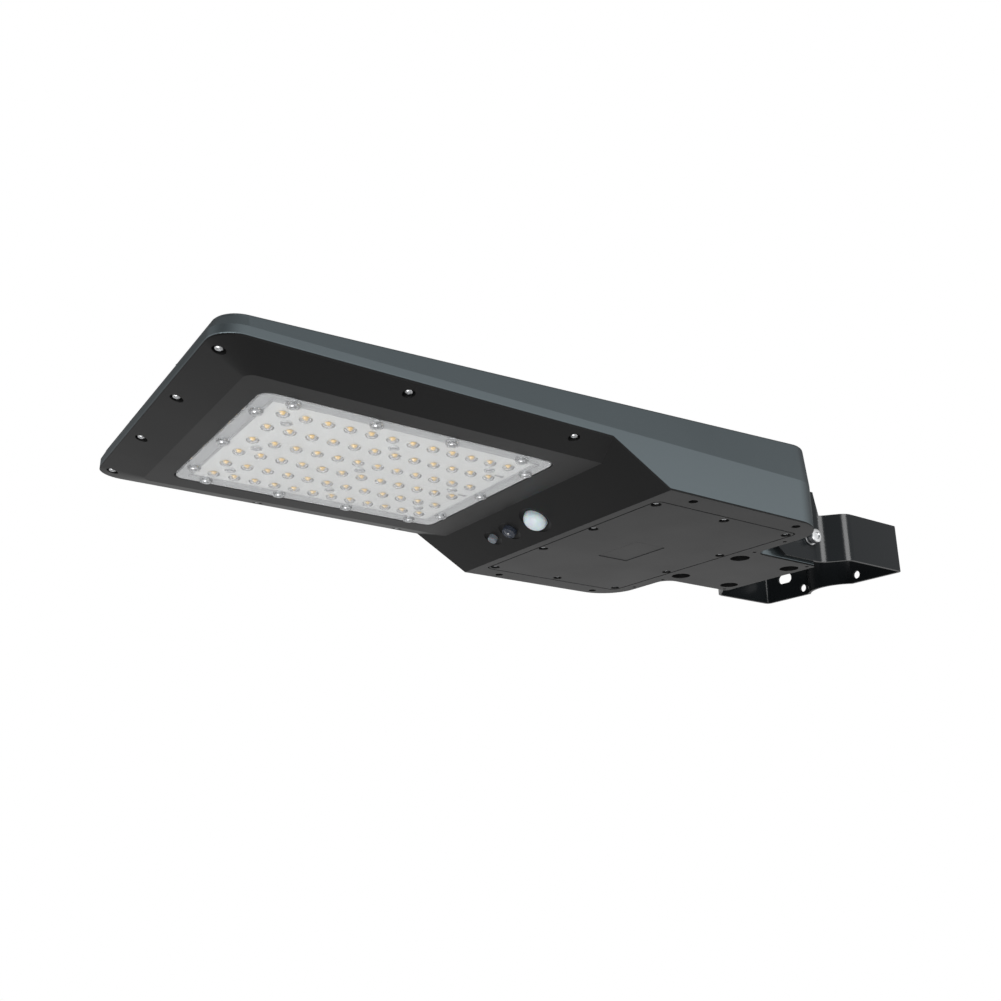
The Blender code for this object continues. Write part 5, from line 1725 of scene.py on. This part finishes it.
    def build_board(self) -> None:
        """Build the board with its diodes, leads and screws, and dress it."""
        low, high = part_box("led_board")
        under = high.z - self.board_thickness
        finish = BoardFinish("white_board", (0.80, 0.82, 0.83), 0.42, start=self.diodes()[0],
                             pitch=self.pitch, track_colour=(0.87, 0.885, 0.89),
                             track_width=14.0 * MM)
        inset = low.x - self.shape.lens[0].x
        carving = Carving(self.shape.plate_slab("light_board", -inset, under, high.z))
        holes = [(x, y, self.board_hole_radius, -FAR, FAR) for x, y in self.board_screws()]
        carving.cut(rods("board_holes", holes, HOLE_STEPS))
        board = soften(carving.bake(), 0.2 * MM)
        piece(board, finish.material(), Body.HEAD, ["led_board"])
        self.build_diodes(under)
        self.build_leads(under)
        self.build_board_screws(under)

    def build_diodes(self, under: float) -> None:
        """Build the diodes' bodies, with rounded corners, and the phosphor on them.

        Args:
            under: The board's visible face.
        """
        bodies = bmesh.new()
        size, tall = self.chip_size, self.chip_height
        for x, y in self.diodes():
            scale = Matrix.Diagonal((size, size, tall, 1.0))
            place = Matrix.Translation((x, y, under - tall / 2)) @ scale
            cube = bmesh.ops.create_cube(bodies, size=1.0, matrix=place)
            upright = {edge for vert in cube["verts"] for edge in vert.link_edges
                       if abs(edge.verts[0].co.z - edge.verts[1].co.z) > 0.5 * tall}
            bmesh.ops.bevel(bodies, geom=list(upright), offset=0.15 * size, segments=3,
                            affect="EDGES")
        chips = shade(mesh_object("diode_bodies", bodies))
        piece(chips, CHIP_BODY.material(), Body.HEAD)
        radius = self.phosphor_radius
        crown = dome(radius, self.phosphor_height, 7)
        sunk = [(0.0, -0.1 * MM), (radius, -0.1 * MM), *crown]
        places = [facing(DOWN, (x, y, under - tall)) for x, y in self.diodes()]
        lights = shade(turned("diode_phosphor", sunk, 20, *places))
        piece(lights, PHOSPHOR.material(), Body.HEAD)

    def build_leads(self, under: float) -> None:
        """Build the two leads that are soldered to the board near its rear end.

        Args:
            under: The board's visible face.
        """
        pads = ((0.0, 6.0 * MM, 2.2 * MM), (-4.5 * MM, 3.2 * MM, 3.4 * MM))
        items = [((x + shift, y + 4.5 * MM, under - 0.3 * MM), (length, width, 0.6 * MM))
                 for x, y in self.between((11.35,), (1.0, 3.0)) for shift, length, width in pads]
        leads = soften(blocks("board_leads", items), 0.15 * MM)
        piece(leads, DARK_STEEL.material(), Body.HEAD)

    def build_board_screws(self, under: float) -> None:
        """Build the board's own screws.

        Args:
            under: The board's visible face.
        """
        screw = Screw(self.board_screw_head, 1.35 * MM, 1.5 * MM, 1.5 * MM)
        places = [facing(DOWN, (x, y, under - 0.02 * MM)) for x, y in self.board_screws()]
        screws = screw.build("board_screws", places)
        piece(screws, BRIGHT_STEEL.material(), Body.HEAD)

    def build(self) -> None:
        """Build the plate and everything behind it."""
        self.build_plate()
        self.build_board()
        piece_node("lens_gasket", SILICONE)
        piece_node("heat_plate", BARE_ALUMINIUM)


# ---------------------------------------------------------------- sensors

@dataclass
class Sensors:
    """The motion sensor's dome, the indicator and the push button on the sloped face."""

    shape: HeadShape
    dome_radius: float = 11.7 * MM
    dome_height: float = 8.5 * MM
    indicator_radius: float = 6.9 * MM
    indicator_y: float = -43.3 * MM
    button_radius: float = 4.7 * MM
    button_y: float = -72.7 * MM
    button_edge: float = 0.9 * MM
    proud: float = 3.4 * MM
    plug_flange: float = 2.3 * MM
    plug_foot: float = 1.5 * MM
    indicator_wall: float = 1.3 * MM

    def places(self) -> list[Point2]:
        """Return the sensors as (y, radius)."""
        return [(0.0, self.dome_radius), (self.indicator_y, self.indicator_radius),
                (self.button_y, self.button_radius)]

    def plug(self, radius: float, crown: Sequence[Point2]) -> list[Point2]:
        """Return the profile of a plug that a flange inside the sloped face holds.

        Args:
            radius: Radius where it passes the face.
            crown: The profile of its visible end, from the axis outwards.

        Returns:
            The profile.
        """
        top = -self.shape.sheet * cos(self.shape.slope_angle) - GAP
        foot, wide = top - self.plug_foot, radius + self.plug_flange
        return [*crown, (radius, top), (wide, top), (wide, foot), (0.0, foot)]

    def build(self) -> None:
        """Build the three plugs and dress them."""
        frame_of = self.shape.sensor_frame
        crown = list(reversed(dome(self.dome_radius, self.dome_height, 14, 0.2 * MM)))
        plug = self.plug(self.dome_radius, crown)
        bulb = shade(turned("motion_dome", plug, TURNED_STEPS, frame_of(0.0)), radians(30))
        piece(bulb, MILKY_DOME.material(), Body.HEAD, ["pir_dome"])
        self.build_indicator()
        edge, radius, top = self.button_edge, self.button_radius, self.proud
        crown = [(0.0, 0.93 * top), (0.62 * radius, 0.96 * top), (radius - edge, top),
                 (radius - 0.3 * edge, top - 0.25 * edge), (radius, top - edge)]
        plug = self.plug(radius, crown)
        button = turned("push_button", plug, ROUND_STEPS, frame_of(self.button_y))
        shade(button, radians(30))
        piece(button, GREY_CAP.material(), Body.BUTTON, ["power_button"])

    def build_indicator(self) -> None:
        """Build the indicator: a rim around a smoked lens with a small light at its centre."""
        place = self.shape.sensor_frame(self.indicator_y)
        radius = self.indicator_radius
        inner = radius - self.indicator_wall
        top = self.proud
        rim = [(radius, top - 0.7 * MM), (radius - 0.4 * MM, top), (inner + 0.3 * MM, top),
               (inner, top - 0.5 * MM), (inner, -2.4 * MM), (radius, -2.4 * MM)]
        ring = shade(turned("indicator_rim", rim, TURNED_STEPS, place), radians(35))
        piece(ring, SMOKED_LENS.material(), Body.HEAD, ["indicator_lens"])
        side = inner - GAP / 2
        window = [(0.0, top - 0.2 * MM), (0.6 * inner, top - 0.35 * MM), (side, top - 0.9 * MM),
                  (side, -4.0 * MM), (0.0, -4.0 * MM)]
        lens = turned("indicator_window", window, ROUND_STEPS, place)
        piece(shade(lens, radians(30)), SMOKED_LENS.material(), Body.HEAD)
        dot = [(0.0, top + 0.15 * MM), (0.7 * MM, top + 0.1 * MM), (0.9 * MM, top - 0.4 * MM),
               (0.0, top - 0.4 * MM)]
        light = shade(turned("indicator_light", dot, 20, place), radians(30))
        piece(light, CHIP_BODY.material(), Body.HEAD)


# ---------------------------------------------------------------- bracket and pivot

@dataclass
class Bracket:
    """The folded bracket: saddled back plate, side panels, necks and pivot wings."""

    sheet: float = 3.0 * MM
    flare: float = 23.5 * MM
    side_length: float = 87.5 * MM
    neck_length: float = 18.0 * MM
    fold_radius: float = 6.0 * MM
    neck_radius: float = 15.0 * MM
    saddle_radius: float = 38.9 * MM
    saddle_depth: float = 14.0 * MM
    shoulder_run: float = 4.3 * MM
    nose_run: float = 14.7 * MM
    nose_rise: float = 10.5 * MM
    wing_corner: float = 8.0 * MM
    hole_radius: float = 4.5 * MM
    hole_offset: float = 8.6 * MM
    hole_z: float = 17.0 * MM
    slot_size: Point2 = (21.0 * MM, 11.5 * MM)
    slot_inset: float = 31.5 * MM
    cutter_reach: float = 30.0 * MM
    pivot_clearance: float = 4.4 * MM

    def saddle(self) -> Point2:
        """Return the X of the saddle's centre and the Y of its edge."""
        centre = self.saddle_depth - self.saddle_radius
        return centre, sqrt(self.saddle_radius ** 2 - centre ** 2)

    def path(self, low: Vector, high: Vector) -> list[Point2]:
        """Return the plan of the sheet's outer face from one wing round to the other.

        Args:
            low: Low corner of the CAD bracket.
            high: Its high corner.

        Returns:
            The open path.
        """
        half = high.y
        wing_y = half - self.flare
        centre, edge_y = self.saddle()
        reach = atan2(edge_y, -centre)
        turns = 36
        angles = [reach * (2 * step / turns - 1) for step in range(turns + 1)]
        saddle = [(centre + self.saddle_radius * cos(angle), self.saddle_radius * sin(angle))
                  for angle in angles]
        corner = (low.x, half)
        fold = (self.side_length, half)
        neck = (self.side_length + self.neck_length, wing_y)
        tip = (high.x, wing_y)
        upper = bend((low.x, 0.0), corner, fold, self.fold_radius)
        upper += bend(corner, fold, neck, self.neck_radius)
        upper += [*bend(fold, neck, tip, self.neck_radius), tip]
        return [(x, -y) for x, y in reversed(upper)] + saddle + upper

    def build(self) -> bpy.types.Object:
        """Build the bracket and dress it.

        Returns:
            The bracket.
        """
        low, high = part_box("bracket")
        path = self.path(low, high)
        inner = offset_path(path, -self.sheet)
        foot, tip, top = low.z, high.x, high.z
        sections = [[(*outside, foot), (*outside, top), (*inside, top), (*inside, foot)]
                    for outside, inside in zip(path, inner)]
        plate = loft("folded_bracket", sections)
        shoulder = self.side_length + self.neck_length - 0.2 * MM
        slant = shoulder + self.shoulder_run
        corner = self.wing_corner
        nose = (tip, foot + self.nose_rise)
        side_view = [(-FAR, foot - PAST), (-FAR, -foot), (shoulder, -foot), (slant, top + PAST),
                     (tip - 2 * corner, top + PAST), *bend((slant, top), (tip, top), nose, corner),
                     nose, (tip - self.nose_run, foot), (tip - self.nose_run, foot - PAST)]
        carving = Carving(plate).keep(side_slab("bracket_side_view", side_view, FAR))
        hole_y = self.saddle()[1] + self.hole_offset
        reach = self.cutter_reach
        turn = Matrix.Rotation(pi / 2, 4, "Y")
        holes = [(z, y, self.hole_radius, -reach, reach)
                 for y in (-hole_y, hole_y) for z in (-self.hole_z, self.hole_z)]
        carving.cut(rods("pole_holes", holes, 32, turn))
        long, tall = self.slot_size[0] / 2, self.slot_size[1] / 2
        for side in Side:
            middle = side.value * (high.y - self.slot_inset)
            corners = [(-tall, middle - long), (tall, middle - long), (tall, middle + long),
                       (-tall, middle + long)]
            outline = rounded(corners, [0.98 * tall] * 4)
            carving.cut(slab("strap_slot", outline, -reach, reach, turn))
        carving.cut(across_pivot("pivot_hole", self.pivot_clearance, -FAR, FAR))
        bracket = shade(carving.bake(merge=False), radians(20))
        return piece(bracket, BRACKET_COAT.material(), Body.BRACKET, ["bracket"])


@dataclass
class Pivot:
    """The bolt, washer and split spring washer that clamp one wing to the arm."""

    side: Side
    bolt_radius: float = 4.0 * MM
    bolt_point: float = 1.0 * MM
    clearance: float = 0.4 * MM
    head_radius: float = 7.5 * MM
    head_height: float = 5.4 * MM
    split: float = 1.6 * MM
    washer_edge: float = 0.25 * MM

    def ring(self, node: str) -> tuple[bpy.types.Object, Matrix]:
        """Build a flat ring that fills the CAD node's box.

        Args:
            node: Name of the CAD node.

        Returns:
            The ring and its place, +Z pointing out of the wing.
        """
        low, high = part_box(node)
        middle = (low + high) / 2
        thick = high.y - low.y
        radius = (high.z - low.z) / 2
        start = middle.y - self.side.value * thick / 2
        place = facing((0.0, self.side.value, 0.0), (middle.x, start, middle.z))
        inner = self.bolt_radius + self.clearance
        edge = self.washer_edge
        profile = [(radius - edge, thick), (radius, thick - edge), (radius, edge),
                   (radius - edge, 0.0), (inner, 0.0), (inner, thick)]
        name = node.replace("pivot_", "flat_") + "_turned"
        return turned(name, profile, TURNED_STEPS, place), place

    def build(self) -> None:
        """Build the pieces and dress them; the nut inside the arm keeps its CAD shape."""
        name = self.side.label
        washer, _ = self.ring("pivot_washer_" + name)
        piece(shade(washer, radians(35)), BRIGHT_STEEL.material(), Body.BRACKET,
              ["pivot_washer_" + name])
        spring, place = self.ring("spring_washer_" + name)
        tilt = place @ Matrix.Rotation(0.9, 4, "Z") @ Matrix.Rotation(0.4, 4, "X")
        gap = ((6.0 * MM, 0.0, 1.0 * MM), (8.0 * MM, self.split, 12.0 * MM))
        cutter = blocks("spring_split", [gap], tilt)
        spring = Carving(spring).cut(cutter).bake()
        piece(shade(spring, radians(35)), DARK_STEEL.material(), Body.BRACKET,
              ["spring_washer_" + name])
        low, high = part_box("pivot_bolt_" + name)
        outer = high.y if self.side is Side.LEFT else -low.y
        head, tall = self.head_radius, self.head_height
        seat = outer - tall
        length = high.y - low.y - tall
        crown = [(0.0, 0.78 * tall), (0.42 * head, 0.78 * tall), (0.46 * head, 0.86 * tall),
                 (0.52 * head, tall), (0.80 * head, tall), (0.93 * head, 0.94 * tall),
                 (head, 0.8 * tall)]
        shank, point = self.bolt_radius, self.bolt_point
        profile = [*crown, (head, 0.0), (shank, 0.0), (shank, point - length),
                   (shank - point, -length), (0.0, -length)]
        spot = facing((0.0, self.side.value, 0.0),
                      ((low.x + high.x) / 2, self.side.value * seat, (low.z + high.z) / 2))
        bolt = turned("bolt_" + name, profile, TURNED_STEPS, spot)
        piece(shade(bolt, radians(30)), BRIGHT_STEEL.material(), Body.BRACKET,
              ["pivot_bolt_" + name])
        piece_node("pivot_nut_" + name, BRIGHT_STEEL)


@dataclass
class InnerPieces:
    """The closed-in pieces, which keep their CAD shapes."""

    finishes: tuple[tuple[str, Finish], ...] = (
        ("battery_pack", SHRINK_WRAP), ("battery_strap", BARE_ALUMINIUM),
        ("charge_controller", GREEN_BOARD), ("sensor_board", GREEN_BOARD))

    def build(self) -> None:
        """Dress the pieces."""
        for name, finish in self.finishes:
            piece_node(name, finish)


# ---------------------------------------------------------------- studio

def aimed(place: Point3, target: Point3) -> Matrix:
    """Return a matrix at a place whose -Z points at a target."""
    turn = (Vector(target) - Vector(place)).to_track_quat("-Z", "Y").to_matrix().to_4x4()
    return Matrix.Translation(place) @ turn


@dataclass(frozen=True)
class SoftLight:
    """A rectangular light that points at the middle of the lamp."""

    name: str
    place: Point3
    size: Point2
    power: float
    target: Point3 = (0.4, 0.0, 0.0)

    def build(self, only: bpy.types.Object | None = None) -> None:
        """Add the light.

        Args:
            only: The one piece that it lights, or None for all.
        """
        data = bpy.data.lights.new(self.name, "AREA")
        data.shape = "RECTANGLE"
        data.size, data.size_y = self.size
        data.energy = self.power
        light = bpy.data.objects.new(self.name, data)
        light.matrix_world = aimed(self.place, self.target)
        bpy.context.scene.collection.objects.link(light)
        if only is not None:
            receivers = bpy.data.collections.new(self.name + "_receivers")
            receivers.objects.link(only)
            light.light_linking.receiver_collection = receivers


@dataclass
class Studio:
    """Camera, world, lights and a pale floor well below the lamp."""

    eye: Point3 = (0.9644, 0.7443, -0.3070)
    target: Point3 = (0.4902, 0.0358, -0.0186)
    focal_length: float = 36.36
    floor_z: float = -3.0
    levels: tuple[Point2, ...] = ((0.0, 0.14), (0.19, 0.18), (0.34, 0.92), (0.5, 1.0), (0.66, 1.0),
                                  (0.75, 0.46), (1.0, 0.35))
    dark_patches: tuple[Point3, ...] = ((0.85, 0.27, 0.45), (-0.93, -0.20, 0.35),
                                        (0.23, -0.88, 0.40))
    patch_focus: float = 3.5
    patch_strength: float = 0.9
    below: SoftLight = SoftLight("light_from_below", (1.6, 0.6, -1.35), (1.2, 1.2), 16.0)
    strip: SoftLight = SoftLight("light_strip", (0.53, 1.73, 0.58), (1.1, 1.2), 66.0)

    def build_camera(self) -> None:
        """Add the camera."""
        data = bpy.data.cameras.new("camera")
        data.lens = self.focal_length
        data.sensor_width = 36.0
        data.clip_start = 0.01
        camera = bpy.data.objects.new("camera", data)
        camera.matrix_world = aimed(self.eye, self.target)
        bpy.context.scene.collection.objects.link(camera)
        bpy.context.scene.camera = camera

    def build_world(self) -> None:
        """Add a world that is white behind the lamp and shaded from nadir to zenith elsewhere."""
        world = bpy.data.worlds.new("studio")
        bpy.context.scene.world = world
        world.use_nodes = True
        tree = world.node_tree
        direction, _, _, z = add_axes(tree, "Generated")
        height = add_math(tree, "MULTIPLY_ADD", z, 0.5, 0.5)
        ramp = tree.nodes.new("ShaderNodeValToRGB")
        tree.links.new(height, ramp.inputs["Fac"])
        ramp.color_ramp.elements[0].color = (*(self.levels[0][1],) * 3, 1.0)
        ramp.color_ramp.elements[1].color = (*(self.levels[-1][1],) * 3, 1.0)
        for place, level in self.levels[1:-1]:
            ramp.color_ramp.elements.new(place).color = (level, level, level, 1.0)
        tone = ramp.outputs["Color"]
        for patch in self.dark_patches:
            turned_to = tree.nodes.new("ShaderNodeVectorMath")
            turned_to.operation = "DOT_PRODUCT"
            tree.links.new(direction, turned_to.inputs[0])
            turned_to.inputs[1].default_value = Vector(patch).normalized()
            ahead = add_math(tree, "MAXIMUM", turned_to.outputs["Value"], 0.0)
            near = add_math(tree, "POWER", ahead, self.patch_focus)
            share = add_math(tree, "MULTIPLY", near, self.patch_strength)
            tone = add_mix(tree, share, tone, (0.02, 0.02, 0.02))
        path = tree.nodes.new("ShaderNodeLightPath")
        shown = add_mix(tree, path.outputs["Is Camera Ray"], tone, (1.0, 1.0, 1.0))
        tree.links.new(shown, tree.nodes["Background"].inputs["Color"])

    def build(self, bracket: bpy.types.Object) -> None:
        """Build the whole studio.

        Args:
            bracket: The piece whose folds catch a light of their own.
        """
        self.build_camera()
        self.build_world()
        self.below.build()
        self.strip.build(bracket)
        floor = blocks("studio_floor", [((0.4, 0.0, self.floor_z), (4.6, 4.6, 0.02))])
        finish = StageFinish("studio_paint", (0.94, 0.94, 0.94), 0.8, tone_drift=0.02,
                             patch_scale=1.5, grain_scale=60.0)
        floor.data.materials.append(finish.material())
        bpy.context.scene.view_settings.view_transform = "Standard"


def main() -> None:
    """Build every sub-assembly in order, then the studio."""
    logging.basicConfig(level=logging.INFO, format="%(name)s: %(message)s")
    shape = HeadShape()
    shell = UpperShell(shape)
    tray = Tray(shape)
    sensors = Sensors(shape)
    shell.build()
    SolarPanel(shell).build()
    tray.build(sensors.places())
    BatteryCover(shape).build()
    LightEngine(shape).build()
    Fasteners(tray).build()
    sensors.build()
    bracket = Bracket().build()
    for side in Side:
        Pivot(side).build()
    InnerPieces().build()
    Studio().build(bracket)


if __name__ == "__main__":
    main()
